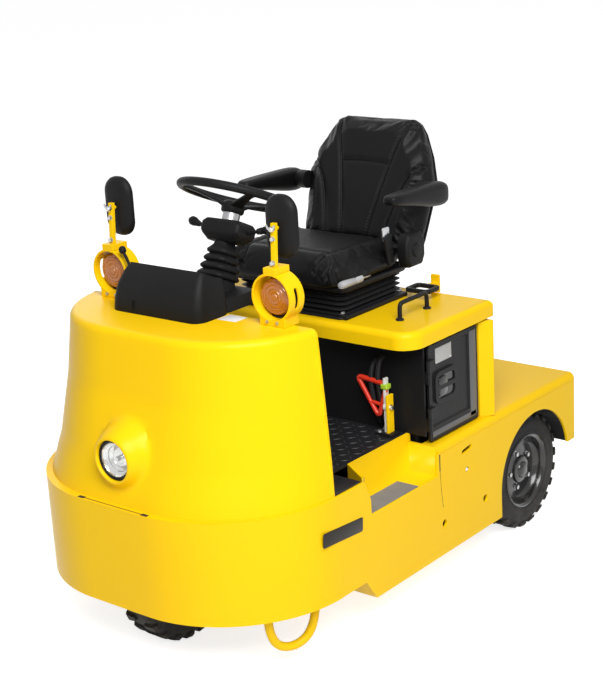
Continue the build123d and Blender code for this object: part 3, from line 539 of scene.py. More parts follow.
def hex_bolt(size, tall):
    """A bolt head with a washer, standing on its origin; sizes in millimetres."""
    bm = bmesh.new()
    turn(bm, Matrix.Identity(4), ((0, 0), (size * 1.15, 0), (size * 1.15, 1.2), (0, 1.2)), 14)
    ring = [(size * 0.92 * cos(radians(60 * k)), size * 0.92 * sin(radians(60 * k))) for k in range(6)]
    cap = [(x * 0.86, y * 0.86) for x, y in ring]
    loft(bm, Matrix.Identity(4), ((ring, 1.2), (ring, tall - 0.8), (cap, tall)))
    return bm


def bolted(name, rows, size, tall, body):
    """A bolt head at each place; rows hold a place in millimetres and a direction."""
    heads = grow(trees["places"], {"Material": finishes["zinc"]}, hex_bolt(size, tall), places(rows))
    return fixed(name, heads, "zinc", body)


# Shader groups that several finishes share


def group_ends(name, inputs, outputs):
    """An empty shader group with named ends."""
    tree = bpy.data.node_groups.new(name, "ShaderNodeTree")
    for label, kind, value in inputs:
        tree.interface.new_socket(label, in_out="INPUT", socket_type=kind).default_value = value
    for label, kind in outputs:
        tree.interface.new_socket(label, in_out="OUTPUT", socket_type=kind)
    return tree, tree.nodes.new("NodeGroupInput"), tree.nodes.new("NodeGroupOutput")


def noise_on(tree, scale, detail=3.0):
    """Noise on Object coordinates."""
    where = tree.nodes.new("ShaderNodeTexCoord")
    noise = tree.nodes.new("ShaderNodeTexNoise")
    noise.inputs["Detail"].default_value = detail
    tree.links.new(where.outputs["Object"], noise.inputs["Vector"])
    if isinstance(scale, (int, float)):
        noise.inputs["Scale"].default_value = scale
    else:
        tree.links.new(scale, noise.inputs["Scale"])
    return noise.outputs["Fac"]


def grain_group():
    """Fine pebbled grain: a height and a mask."""
    tree, start, end = group_ends(
        "Fine grain", (("Scale", "NodeSocketFloat", 300.0),), (
            ("Height", "NodeSocketFloat"), ("Mask", "NodeSocketFloat")
        )
    )
    where = tree.nodes.new("ShaderNodeTexCoord")
    cells = tree.nodes.new("ShaderNodeTexVoronoi")
    cells.feature = "SMOOTH_F1"
    tree.links.new(where.outputs["Object"], cells.inputs["Vector"])
    tree.links.new(start.outputs["Scale"], cells.inputs["Scale"])
    soft = noise_on(tree, math_node(tree, "MULTIPLY", start.outputs["Scale"], 0.35))
    tree.links.new(math_node(tree, "ADD", cells.outputs["Distance"], soft), end.inputs["Height"])
    tree.links.new(soft, end.inputs["Mask"])
    return tree


def dust_group():
    """Dust that settles on low parts and in patches: a mask."""
    tree, start, end = group_ends(
        "Road dust",
        (("Reach", "NodeSocketFloat", 0.4), ("Amount", "NodeSocketFloat", 0.5)),
        (("Mask", "NodeSocketFloat"),),
    )
    where = tree.nodes.new("ShaderNodeTexCoord")
    split = tree.nodes.new("ShaderNodeSeparateXYZ")
    tree.links.new(where.outputs["Object"], split.inputs[0])
    low = tree.nodes.new("ShaderNodeMapRange")
    low.inputs["From Max"].default_value = 0.0
    tree.links.new(split.outputs["Z"], low.inputs["Value"])
    tree.links.new(start.outputs["Reach"], low.inputs["From Min"])
    patch = math_node(tree, "POWER", noise_on(tree, 14.0, 5.0), 1.6)
    mask = math_node(
        tree, "MULTIPLY", math_node(tree, "MULTIPLY", low.outputs[0], patch), start.outputs["Amount"]
    )
    tree.links.new(mask, end.inputs["Mask"])
    return tree


def drift_group():
    """Slow drift between two tones: a colour."""
    tree, start, end = group_ends(
        "Tone drift",
        (
            ("Tone", "NodeSocketColor", (1, 1, 1, 1)),
            ("Other tone", "NodeSocketColor", (0, 0, 0, 1)),
            ("Scale", "NodeSocketFloat", 3.0),
        ),
        (("Colour", "NodeSocketColor"),),
    )
    mix = tree.nodes.new("ShaderNodeMix")
    mix.data_type = "RGBA"
    tree.links.new(noise_on(tree, start.outputs["Scale"], 4.0), mix.inputs["Factor"])
    tree.links.new(start.outputs["Tone"], mix.inputs["A"])
    tree.links.new(start.outputs["Other tone"], mix.inputs["B"])
    tree.links.new(mix.outputs["Result"], end.inputs["Colour"])
    return tree


def blend_colour(tree, factor, one, two):
    """Mix two colours by a mask; a colour is a socket or three numbers."""
    mix = tree.nodes.new("ShaderNodeMix")
    mix.data_type = "RGBA"
    tree.links.new(factor, mix.inputs["Factor"])
    for label, value in (("A", one), ("B", two)):
        if isinstance(value, bpy.types.NodeSocket):
            tree.links.new(value, mix.inputs[label])
        else:
            mix.inputs[label].default_value = (*value, 1)
    return mix.outputs["Result"]


def spread(tree, value, low, high):
    """Map a mask to a range of roughness."""
    span = tree.nodes.new("ShaderNodeMapRange")
    span.inputs["From Min"].default_value = 0.3
    span.inputs["From Max"].default_value = 0.7
    span.inputs["To Min"].default_value = low
    span.inputs["To Max"].default_value = high
    tree.links.new(value, span.inputs["Value"])
    return span.outputs[0]


def finish(name, tone, other, rough, grain, bump, drift=3.0, dust=None, dusty=(0.4, 0.0), **sockets):
    """A finish from two tones, a roughness range, grain scale, bump height and dust."""
    material = bpy.data.materials.new(name)
    material.use_nodes = True
    tree = material.node_tree
    shader = tree.nodes["Principled BSDF"]
    for label, value in sockets.items():
        shader.inputs[label.replace("_", " ")].default_value = value
    tones = tree.nodes.new("ShaderNodeGroup")
    tones.node_tree = effects["drift"]
    tones.inputs["Tone"].default_value = (*tone, 1)
    tones.inputs["Other tone"].default_value = (*other, 1)
    tones.inputs["Scale"].default_value = drift
    base = tones.outputs["Colour"]
    pebbles = tree.nodes.new("ShaderNodeGroup")
    pebbles.node_tree = effects["grain"]
    pebbles.inputs["Scale"].default_value = grain
    if dust:
        grime = tree.nodes.new("ShaderNodeGroup")
        grime.node_tree = effects["dust"]
        grime.inputs["Reach"].default_value, grime.inputs["Amount"].default_value = dusty
        base = blend_colour(tree, grime.outputs["Mask"], base, dust)
    tree.links.new(base, shader.inputs["Base Color"])
    tree.links.new(spread(tree, pebbles.outputs["Mask"], *rough), shader.inputs["Roughness"])
    relief = tree.nodes.new("ShaderNodeBump")
    relief.inputs["Strength"].default_value = 1.0
    relief.inputs["Distance"].default_value = bump
    tree.links.new(pebbles.outputs["Height"], relief.inputs["Height"])
    tree.links.new(relief.outputs["Normal"], shader.inputs["Normal"])
    finishes[name] = material
    return material


class TOW_OT_finishes(bpy.types.Operator):
    """Mix the finishes of paint, plastic, vinyl, rubber, metal and lenses"""

    bl_idname = "tow.finishes"
    bl_label = "Mix finishes"

    def execute(self, context):
        p = context.scene.tow_paint
        effects.update(grain=grain_group(), dust=dust_group(), drift=drift_group())
        dust = tuple(p.dust)

        def darker(c, k):
            return tuple(v * k for v in c)

        finish(
            "yellow_paint", p.yellow, p.yellow_deep, (0.28, 0.38), 240, 0.00002, 2.2, dust, (0.34, 0.06),
            Coat_Weight=0.03, Coat_Roughness=0.08, Specular_IOR_Level=0.08,
        )
        finish(
            "black_paint", p.black, darker(p.black, 1.5), (0.36, 0.48), 700, 0.00008, 5.0, dust,
            (0.5, 0.12), Specular_IOR_Level=0.14,
        )
        finish(
            "rim_paint", darker(p.black, 0.7), p.black, (0.16, 0.26), 500, 0.00005, 6.0, dust, (0.4, 0.10),
            Coat_Weight=0.5, Coat_Roughness=0.1, Specular_IOR_Level=0.3,
        )
        finish("grey_paint", (0.085, 0.087, 0.092), (0.07, 0.072, 0.076), (0.34, 0.46), 700, 0.00008, 6.0)
        finish("white_paint", (0.78, 0.77, 0.74), (0.70, 0.69, 0.65), (0.34, 0.46), 600, 0.00006, 8.0)
        finish("green_paint", (0.42, 0.62, 0.03), (0.36, 0.55, 0.03), (0.36, 0.5), 600, 0.00006, 8.0)
        finish("red_grip", p.red, darker(p.red, 0.85), (0.30, 0.42), 420, 0.00008, 8.0)
        finish(
            "black_plastic", p.plastic, darker(p.plastic, 1.35), (0.42, 0.56), 900, 0.00022, 6.0,
            Specular_IOR_Level=0.12,
        )
        finish("grey_plastic", (0.42, 0.42, 0.43), (0.36, 0.36, 0.37), (0.42, 0.55), 800, 0.0002, 8.0)
        finish(
            "seat_vinyl", p.vinyl, darker(p.vinyl, 1.6), (0.34, 0.48), 620, 0.00030, 7.0,
            Specular_IOR_Level=0.14,
        )
        finish("seam_thread", (0.045, 0.045, 0.048), (0.03, 0.03, 0.032), (0.45, 0.6), 1500, 0.0002, 9.0)
        finish(
            "tyre_rubber", p.rubber, darker(p.rubber, 1.5), (0.62, 0.80), 260, 0.00035, 9.0, dust,
            (0.42, 0.26), Specular_IOR_Level=0.14,
        )
        finish(
            "rubber_mat", (0.010, 0.010, 0.011), (0.016, 0.016, 0.017), (0.45, 0.62), 420, 0.00020, 9.0,
            Specular_IOR_Level=0.2,
        )
        finish(
            "plate_black", (0.010, 0.010, 0.011), (0.020, 0.020, 0.022), (0.28, 0.46), 380, 0.00014, 14.0,
            Specular_IOR_Level=0.34,
        )
        finish("step_grit", (0.23, 0.23, 0.24), (0.17, 0.17, 0.18), (0.70, 0.88), 1100, 0.0008, 18.0)
        finish(
            "steel", (0.46, 0.46, 0.47), (0.38, 0.38, 0.39), (0.28, 0.42), 900, 0.00006, 12.0, Metallic=1.0
        )
        finish("zinc", (0.62, 0.63, 0.64), (0.50, 0.51, 0.53), (0.24, 0.38), 700, 0.00006, 30.0, Metallic=1.0)
        finish(
            "label_blank", (0.40, 0.40, 0.39), (0.34, 0.34, 0.33), (0.34, 0.48), 900, 0.00003, 20.0,
            Metallic=0.35,
        )
        finish("label_white", (0.80, 0.80, 0.79), (0.72, 0.72, 0.71), (0.4, 0.5), 900, 0.00003, 20.0)
        finish(
            "badge_black", (0.016, 0.013, 0.011), (0.026, 0.022, 0.018), (0.28, 0.4), 900, 0.00004, 20.0,
            Specular_IOR_Level=0.15,
        )
        # painted shade: yellow darkened almost to black, standing for the shade inside the nose slot, the
        # side seams and the side slits
        finish("dark_gap", (0.020, 0.012, 0.004), (0.012, 0.008, 0.004), (0.7, 0.85), 400, 0.0001, 9.0)
        finish(
            "reflector", (0.66, 0.65, 0.62), (0.50, 0.50, 0.50), (0.08, 0.20), 300, 0.00003, 20.0,
            Metallic=1.0,
        )
        finish(
            "mirror_glass", (0.86, 0.88, 0.90), (0.84, 0.86, 0.88), (0.02, 0.05), 200, 0.000004, 6.0,
            Metallic=1.0,
        )
        finish(
            "amber_lens", p.amber, darker(p.amber, 0.8), (0.16, 0.26), 300, 0.00005, 30.0, Coat_Weight=0.4,
            Transmission_Weight=0.25, IOR=1.49,
        )
        finish(
            "red_lens", (0.42, 0.012, 0.01), (0.34, 0.01, 0.008), (0.16, 0.26), 300, 0.00005, 30.0,
            Coat_Weight=0.4, Transmission_Weight=0.2, IOR=1.49,
        )
        finish(
            "clear_lens", (0.95, 0.96, 0.96), (0.92, 0.93, 0.94), (0.03, 0.07), 160, 0.00002, 20.0,
            Transmission_Weight=1.0, IOR=1.47,
        )
        return {"FINISHED"}


# Body panels


class TOW_OT_panels(bpy.types.Operator):
    """Coat the carried pieces and ease the edges of the painted panels"""

    bl_idname = "tow.panels"
    bl_label = "Body panels"

    def execute(self, context):
        edge = context.scene.tow_paint.edge
        alias = {"grey_pad": "step_grit"}
        for obj in cad.values():
            for slot in obj.material_slots:
                key = slot.material.name.split(".")[0]
                slot.material = finishes[alias.get(key, key)]
        # columns: node, finish, easing, rounds
        rows = (
            ("side_skins", "yellow_paint", edge, 2),
            ("rear_deck", "yellow_paint", edge, 2),
            ("side_ledges", "yellow_paint", edge, 2),
            ("rear_plate", "yellow_paint", edge, 2),
            ("bumper_skirt", "yellow_paint", 0, 1),
            ("bulkhead", "yellow_paint", edge, 2),
            ("box_front", "black_paint", edge, 2),
            ("firewall", "black_paint", 0, 1),
            ("step_recesses", "yellow_paint", 0, 1),
            ("step_pads", "step_grit", 0.0008, 2),
            ("tow_hitch", "black_paint", edge, 2),
            ("drive_axle", "black_paint", edge, 2),
            ("battery", "black_plastic", 0.004, 3),
            ("steer_fork", "black_paint", edge, 2),
        )
        for node, coat, width, rounds in rows:
            eased(node, coat, width, rounds)
        self.liners()
        wings = bmesh.new()
        for side in (1, -1):
            block(wings, (372, min(side * 391, side * 494), 492), (504, max(side * 391, side * 494), 499))
        piece("floor_wings", wings, "plate_black", "chassis", ease=edge)
        loops = bmesh.new()
        # columns: inset from the skirt, angle round its corner, height
        bends = ((0, 80, 230), (4, 80, 180), (14, 80, 58), (14, 54, 58), (4, 54, 180), (0, 54, 230))
        for side in (1, -1):
            guide = []
            for inset, angle, z in bends:
                r = 347 - inset
                guide.append(at(490 + r * cos(radians(angle)), side * (114 + r * sin(radians(angle))), z))
            sweep(loops, curve_points(guide, 12), 0.013, 16)
        piece("tie_down_bars", loops, "yellow_paint", "chassis", ("tie_downs",), smooth=60)
        return {"FINISHED"}

    def liners(self):
        """Wheel arch liners cut off level with the tail."""
        bm = bmesh.new()
        bm.from_mesh(cad["arch_liners"].data)
        bmesh.ops.remove_doubles(bm, verts=bm.verts[:], dist=2e-6)
        behind = [f for f in bm.faces if f.calc_center_median().x < -0.568]
        near = behind + list({e for f in behind for e in f.edges}) + list(
            {v for f in behind for v in f.verts}
        )
        cut = bmesh.ops.bisect_plane(
            bm, geom=near, plane_co=at(0, 0, 243), plane_no=(0, 0, -1), clear_outer=True
        )
        bmesh.ops.holes_fill(bm, edges=[e for e in cut["geom_cut"] if isinstance(e, bmesh.types.BMEdge)])
        piece("arch_liner_sheets", bm, "black_paint", "chassis", ("arch_liners",), smooth=35)


# The cowl in millimetres: its foot, the round along its top, its sloping rear cut and the headlight pod
cowl_foot = 495
round_foot = 943
round_radius = 22
cut_x = 500
cut_run = 33
cut_rise = 470
pod_x = 858
pod_z = 623
pod_radius = 67
pod_mouth = 62.5
pod_reach = 127
pod_blend = 30


def cowl_outline(z):
    """Front x, half width and corner radius of the cowl at a height."""
    # columns: height, front x, half width, corner radius
    rows = ((cowl_foot, 856, 498, 385), (600, 815, 488, 385), (780, 762, 465, 345), (965, 738, 440, 320))
    for low, high in zip(rows, rows[1:]):
        if z <= high[0]:
            t = (z - low[0]) / (high[0] - low[0])
            return [a + t * (b - a) for a, b in zip(low[1:], high[1:])]
    return rows[-1][1:]


def cowl_point(run, z, inset=0.0, rise=0.0):
    """A point of the cowl's skin at an arc run from the middle of the nose."""
    front, wide, corner = cowl_outline(z)
    front, wide, corner = front - inset, wide - inset, corner - inset
    flat = wide - corner
    side = 1 if run >= 0 else -1
    s = abs(run)
    back = cut_x - (z + rise - cowl_foot) * cut_run / cut_rise
    arc = corner * pi / 2
    if s <= flat:
        x, y = front, s
    elif s <= flat + arc:
        a = (s - flat) / corner
        x, y = front - corner + corner * cos(a), flat + corner * sin(a)
    else:
        x, y = max(back, front - corner - (s - flat - arc)), wide
    return [max(x, back), side * y, z + rise]


def pod_lift(x, y, z):
    """The nose pulled forward into the round pod of the headlight."""
    r = (y * y + (z - pod_z) ** 2) ** 0.5
    past = r - pod_radius
    pod = pod_x if past < 0 else pod_x - past ** 2 * 0.035 - past * 0.9
    h = max(pod_blend - abs(x - pod), 0) / pod_blend
    return max(x, pod) + h * h * pod_blend / 4


class TOW_OT_cowl(bpy.types.Operator):
    """Form the front cowl as one skin with the headlight pod drawn out of it"""

    bl_idname = "tow.cowl"
    bl_label = "Front cowl"

    def execute(self, context):
        # grid lines lie close together where the skin turns into the pod
        rings = (62, 64, 66, 68, 70, 72, 74.5, 77, 80, 83, 87, 92, 98, 106, 116, 127)
        inner = (10, 20, 30, 39, 48, 55)
        across = [-r for r in rings[::-1]] + [-r for r in inner[::-1]] + [0] + list(inner) + list(rings)
        reach = 498 - 385 + 385 * pi / 2 + 30
        beyond = [pod_reach + (reach - pod_reach) * k / 34 for k in range(1, 35)] + [reach + 90, reach + 200]
        runs = [-s for s in beyond[::-1]] + across + beyond
        heights = [cowl_foot] + [pod_z + a for a in across if pod_z + a > cowl_foot + 0.5]
        above = pod_z + pod_reach
        heights += [above + (round_foot - above) * k / 12 for k in range(1, 13)]
        bm = bmesh.new()
        grid = []
        for z in heights:
            row = []
            for run in runs:
                s, h = run, z - pod_z
                m = max(abs(s), abs(h))
                if 0 < m <= 128:
                    t = min(max((m - 84) / 43, 0), 1)
                    w = 1 - t * t * (3 - 2 * t)
                    k = m / (s * s + h * h) ** 0.5
                    s, h = s * (w * k + 1 - w), h * (w * k + 1 - w)
                x, y, zz = cowl_point(s, max(pod_z + h, cowl_foot))
                if abs(run) < 330:
                    x = pod_lift(x, y, zz)
                row.append(bm.verts.new(at(x, y, zz)))
            grid.append(row)
        for k in range(1, 7):
            a = radians(15 * k)
            row = [
                bm.verts.new(
                    at(*cowl_point(run, round_foot, round_radius * (1 - cos(a)), round_radius * sin(a)))
                )
                for run in runs
            ]
            grid.append(row)
        for i, (low, high) in enumerate(zip(grid, grid[1:])):
            for j in range(len(runs) - 1):
                sides = [*runs[j : j + 2], *(h - pod_z for h in heights[i : i + 2])]
                if i < len(heights) - 1 and max(map(abs, sides)) < pod_mouth:
                    continue
                bm.faces.new((low[j], low[j + 1], high[j + 1], high[j]))
        bm.faces.new(grid[-1])
        bmesh.ops.remove_doubles(bm, verts=bm.verts[:], dist=5e-5)
        bmesh.ops.dissolve_degenerate(bm, dist=1e-5, edges=bm.edges[:])
        bmesh.ops.recalc_face_normals(bm, faces=bm.faces[:])
        top = max(bm.faces, key=lambda f: f.calc_area())
        if top.normal.z < 0:
            bmesh.ops.reverse_faces(bm, faces=bm.faces[:])
        mesh = bpy.data.meshes.new("front_cowl_skin")
        bm.to_mesh(mesh)
        bm.free()
        obj = bpy.data.objects.new("front_cowl_skin", mesh)
        context.scene.collection.objects.link(obj)
        wall = obj.modifiers.new("wall", "SOLIDIFY")
        wall.thickness = 0.004
        wall.offset = -1
        settle(obj)
        dress(obj, "yellow_paint", "chassis", ("front_cowl",), 40)
        return {"FINISHED"}


# Seat


def seat_frame():
    """Placing matrix of the backrest: X across, Y up the rest, Z towards its back."""
    m = Matrix(((0, 1, 0), (-0.342, 0, 0.940), (-0.940, 0, -0.342))).transposed().to_4x4()
    m.translation = at(-259, 0, 975)
    return m


def pad_ring(place, along, wide, near, far, radius, steps=6):
    """A rounded cross-section of the backrest at a height up the rest."""
    ring = rounded(2 * wide, far - near, radius, steps)
    return [place @ (Vector((x, along, y + (near + far) / 2)) / 1000) for x, y in ring]


def swelled(bm, name, settings, soften, pinned):
    """Remesh a rough pad into one skin, soften it and let cloth pressure fill it."""
    bmesh.ops.recalc_face_normals(bm, faces=bm.faces[:])
    mesh = bpy.data.meshes.new(name)
    bm.to_mesh(mesh)
    bm.free()
    obj = bpy.data.objects.new(name, mesh)
    bpy.context.scene.collection.objects.link(obj)
    cells = obj.modifiers.new("cells", "REMESH")
    cells.mode = "VOXEL"
    cells.voxel_size = settings.voxel
    even = obj.modifiers.new("even", "SMOOTH")
    even.factor = 0.5
    even.iterations = soften
    settle(obj)
    start = [v.co.copy() for v in obj.data.vertices]
    held = obj.vertex_groups.new(name="held")
    held.add([i for i, p in enumerate(start) if pinned(p)], 1.0, "REPLACE")
    cloth = obj.modifiers.new("cloth", "CLOTH")
    cloth.settings.quality = 4
    cloth.settings.mass = 0.4
    cloth.settings.tension_stiffness = cloth.settings.compression_stiffness = 12
    cloth.settings.bending_stiffness = 2.0
    cloth.settings.use_pressure = True
    cloth.settings.uniform_pressure_force = settings.pressure
    cloth.settings.vertex_group_mass = "held"
    cloth.settings.effector_weights.gravity = 0
    cloth.collision_settings.use_collision = False
    cloth.point_cache.frame_start = 1
    cloth.point_cache.frame_end = settings.frames
    for step in range(1, settings.frames + 1):
        bpy.context.scene.frame_set(step)
    settle(obj)
    bpy.context.scene.frame_set(1)
    obj.vertex_groups.clear()
    for v, p in zip(obj.data.vertices, start):
        move = v.co - p
        if move.length > settings.swell:
            v.co = p + move.normalized() * settings.swell
    after = obj.modifiers.new("finer", "SUBSURF")
    after.levels = after.render_levels = 1
    settle(obj)
    return obj


def skin_tree(obj):
    """A search tree over a piece's faces."""
    return BVHTree.FromPolygons([v.co for v in obj.data.vertices], [p.vertices for p in obj.data.polygons])


def sewn(obj, lines, depth, spread_mm):
    """Draw the skin in along seams and give back the seams on the skin."""
    tree = skin_tree(obj)
    found = []
    for guide, way in lines:
        path = []
        for p in curve_points(guide, 10):
            hit = tree.ray_cast(p - way * 0.3, way)
            if hit[0] is not None:
                path.append((hit[0], hit[1]))
        found.append(path)
    points = [p for path in found for p, n in path]
    finder = KDTree(len(points))
    for i, p in enumerate(points):
        finder.insert(p, i)
    finder.balance()
    pulls = []
    for v in obj.data.vertices:
        distance = finder.find(v.co)[2] * 1000
        pulls.append(depth * 2.718 ** -((distance / spread_mm) ** 2) if distance < 4 * spread_mm else 0)
    normals = [v.normal.copy() for v in obj.data.vertices]
    for v, n, pull in zip(obj.data.vertices, normals, pulls):
        v.co -= n * pull / 1000
    obj.data.update()
    tree = skin_tree(obj)
    settled = []
    for path in found:
        settled.append([(tree.find_nearest(p)[0], tree.find_nearest(p)[1]) for p, n in path])
    return settled


def seam_pieces(name, seams, settings, body):
    """Piping in each seam and a row of stitches along both of its sides."""
    bm = bmesh.new()
    for path in seams:
        sweep(bm, [p + n * 0.0006 for p, n in path], settings.piping, 8)
    piece(name + "_piping", bm, "seat_vinyl", body, smooth=60)
    verts, edges = [], []
    for path in seams:
        for side in (1, -1):
            first = len(verts)
            for i, (p, n) in enumerate(path):
                ahead = path[min(i + 1, len(path) - 1)][0] - path[max(i - 1, 0)][0]
                verts.append(p + n.cross(ahead).normalized() * side * 0.0075 + n * 0.0012)
                if i:
                    edges.append((first + i - 1, first + i))
    line = bpy.data.meshes.new(name + "_line")
    line.from_pydata(verts, edges, [])
    thread = bmesh.new()
    sweep(thread, [at(-3.2, 0, -0.6), at(-1.4, 0, 0.3), at(1.4, 0, 0.3), at(3.2, 0, -0.6)], 0.0006, 6)
    mesh = grow(trees["seam"], {"Step": settings.stitch, "Material": finishes["seam_thread"]}, thread, line)
    fixed(name + "_stitches", mesh, "seam_thread", body)


class TOW_OT_seat_pads(bpy.types.Operator):
    """Fill and sew the seat cushion and the backrest, and build the armrests"""

    bl_idname = "tow.seat_pads"
    bl_label = "Seat pads"

    def execute(self, context):
        s = context.scene.tow_seat
        bm = bmesh.new()
        place = Matrix.Identity(4)
        place.translation = at(-68, 0, 0)
        loft(
            bm,
            place,
            (
                (rounded(330, 440, 60), 957), (rounded(350, 466, 70), 972), (rounded(356, 472, 70), 1008),
                (rounded(330, 444, 60), 1030), (rounded(294, 404, 50), 1038),
            ),
        )
        for side in (1, -1):
            rail = [
                at(x, side * y, z)
                for x, y, z in (
                    (-232, 202, 1004), (-180, 204, 1010), (-60, 204, 1010), (40, 202, 1006), (80, 194, 996)
                )
            ]
            sweep(bm, rail, 0.033, 16)
        sweep(bm, [at(70, y, 998) for y in (-212, -120, 0, 120, 212)], 0.040, 16)
        cushion = swelled(bm, "seat_cushion_pad", s, 7, lambda p: p.z < 0.964)
        lines = []
        for side in (1, -1):
            guide = [
                at(-236, side * 152, 1040), at(-150, side * 158, 1040), at(0, side * 158, 1040),
                at(70, side * 150, 1040), at(104, side * 140, 1040),
            ]
            lines.append((guide, Vector((0, 0, -1))))
        lines.append(
            (
                [at(22, -150, 1040), at(30, -60, 1040), at(30, 60, 1040), at(22, 150, 1040)],
                Vector((0, 0, -1)),
            )
        )
        seams = sewn(cushion, lines, 5.0, 9.0)
        dress(cushion, "seat_vinyl", "hood", ("seat_cushion",), 60)
        seam_pieces("cushion", seams, s, "hood")

        place = seat_frame()
        bm = bmesh.new()
        # columns: height up the rest, half width, front, back, corner radius
        rows = (
            (4, 190, 34, 84, 24),
            (14, 222, 22, 94, 34),
            (70, 232, 16, 98, 38),
            (180, 240, 16, 98, 38),
            (262, 240, 18, 98, 38),
            (340, 214, 18, 96, 38),
            (410, 178, 20, 94, 36),
            (440, 156, 28, 88, 28),
            (450, 134, 40, 78, 18),
        )
        bridge(bm, [pad_ring(place, *row) for row in rows])
        for side in (1, -1):
            # columns: across, up the rest, depth of the bolster's middle line
            line = (
                (176, 40, 42), (186, 100, 38), (200, 180, 37), (208, 250, 38), (192, 320, 43),
                (158, 390, 52), (140, 420, 58),
            )
            sweep(bm, [place @ (Vector((side * y, v, w)) / 1000) for y, v, w in line], 0.030, 16)
        back = (place.to_3x3() @ Vector((0, 0, 1))).normalized()
        inverse = place.inverted()
        rest = swelled(bm, "seat_backrest_pad", s, 7, lambda p: (inverse @ p).z > 0.086)
        lines = []
        # columns: points (across, up the rest) of each seam
        for guide in (
            ((-140, 436), (-118, 370), (-96, 294), (-74, 190), (-52, 80), (-50, 20)),
            ((140, 436), (118, 370), (96, 294), (74, 190), (52, 80), (50, 20)),
            ((-232, 300), (-200, 285), (-169, 255), (-140, 170), (-118, 80), (-112, 20)),
            ((232, 300), (200, 285), (169, 255), (140, 170), (118, 80), (112, 20)),
            ((-96, 294), (-40, 300), (40, 300), (96, 294)),
        ):
            lines.append(([place @ (Vector((y, v, 0)) / 1000) for y, v in guide], back))
        seams = sewn(rest, lines, 6.0, 10.0)
        dress(rest, "seat_vinyl", "hood", ("seat_backrest",), 60)
        seam_pieces("backrest", seams, s, "hood")
        shell = bmesh.new()
        rings = []
        for depth, grow_by in ((84, -3), (97, -8), (104, -26)):
            ring = [
                (224, 24), (232, 70), (240, 180), (240, 262), (214, 340), (176, 410), (150, 440), (120, 450)
            ]
            half_ring = [
                (y + grow_by, v + (grow_by if v > 300 else -grow_by if v < 60 else 0)) for y, v in ring
            ]
            outline = half_ring + [(-y, v) for y, v in half_ring[::-1]]
            rings.append([place @ (Vector((y, v, depth)) / 1000) for y, v in outline])
        bridge(shell, rings)
        piece("seat_back_shell", shell, "black_plastic", "hood", ease=0.004, rounds=3)

        arms = bmesh.new()
        for side in (1, -1):
            rings = []
            # columns: x, middle height, half width, half height
            for x, z, wide, tall in (
                (-384, 1168, 16, 20), (-376, 1170, 26, 34), (-345, 1172, 30, 41), (-280, 1178, 31, 36),
                (-200, 1188, 31, 26), (-130, 1194, 30, 19), (-96, 1196, 26, 16), (-84, 1196, 16, 9),
            ):
                rings.append(
                    [
                        at(x, side * 292 + y, z + h)
                        for y, h in rounded(2 * wide, 2 * tall, min(wide, tall) * 0.75, 4)
                    ]
                )
            bridge(arms, rings)
        pivots = bmesh.new()
        for side in (1, -1):
            turn(
                pivots,
                axes((-345, side * 222, 1176), (0, side, 0), (1, 0, 0)),
                ((0, 0), (30, 0), (30, 36), (27, 40), (0, 40)),
                28,
            )
        piece("armrest_pivots", pivots, "black_plastic", "hood", smooth=40)
        arms = piece("armrest_pads", arms, "seat_vinyl", "hood", ("seat_armrests",), subdivide=1, smooth=60)
        return {"FINISHED"}


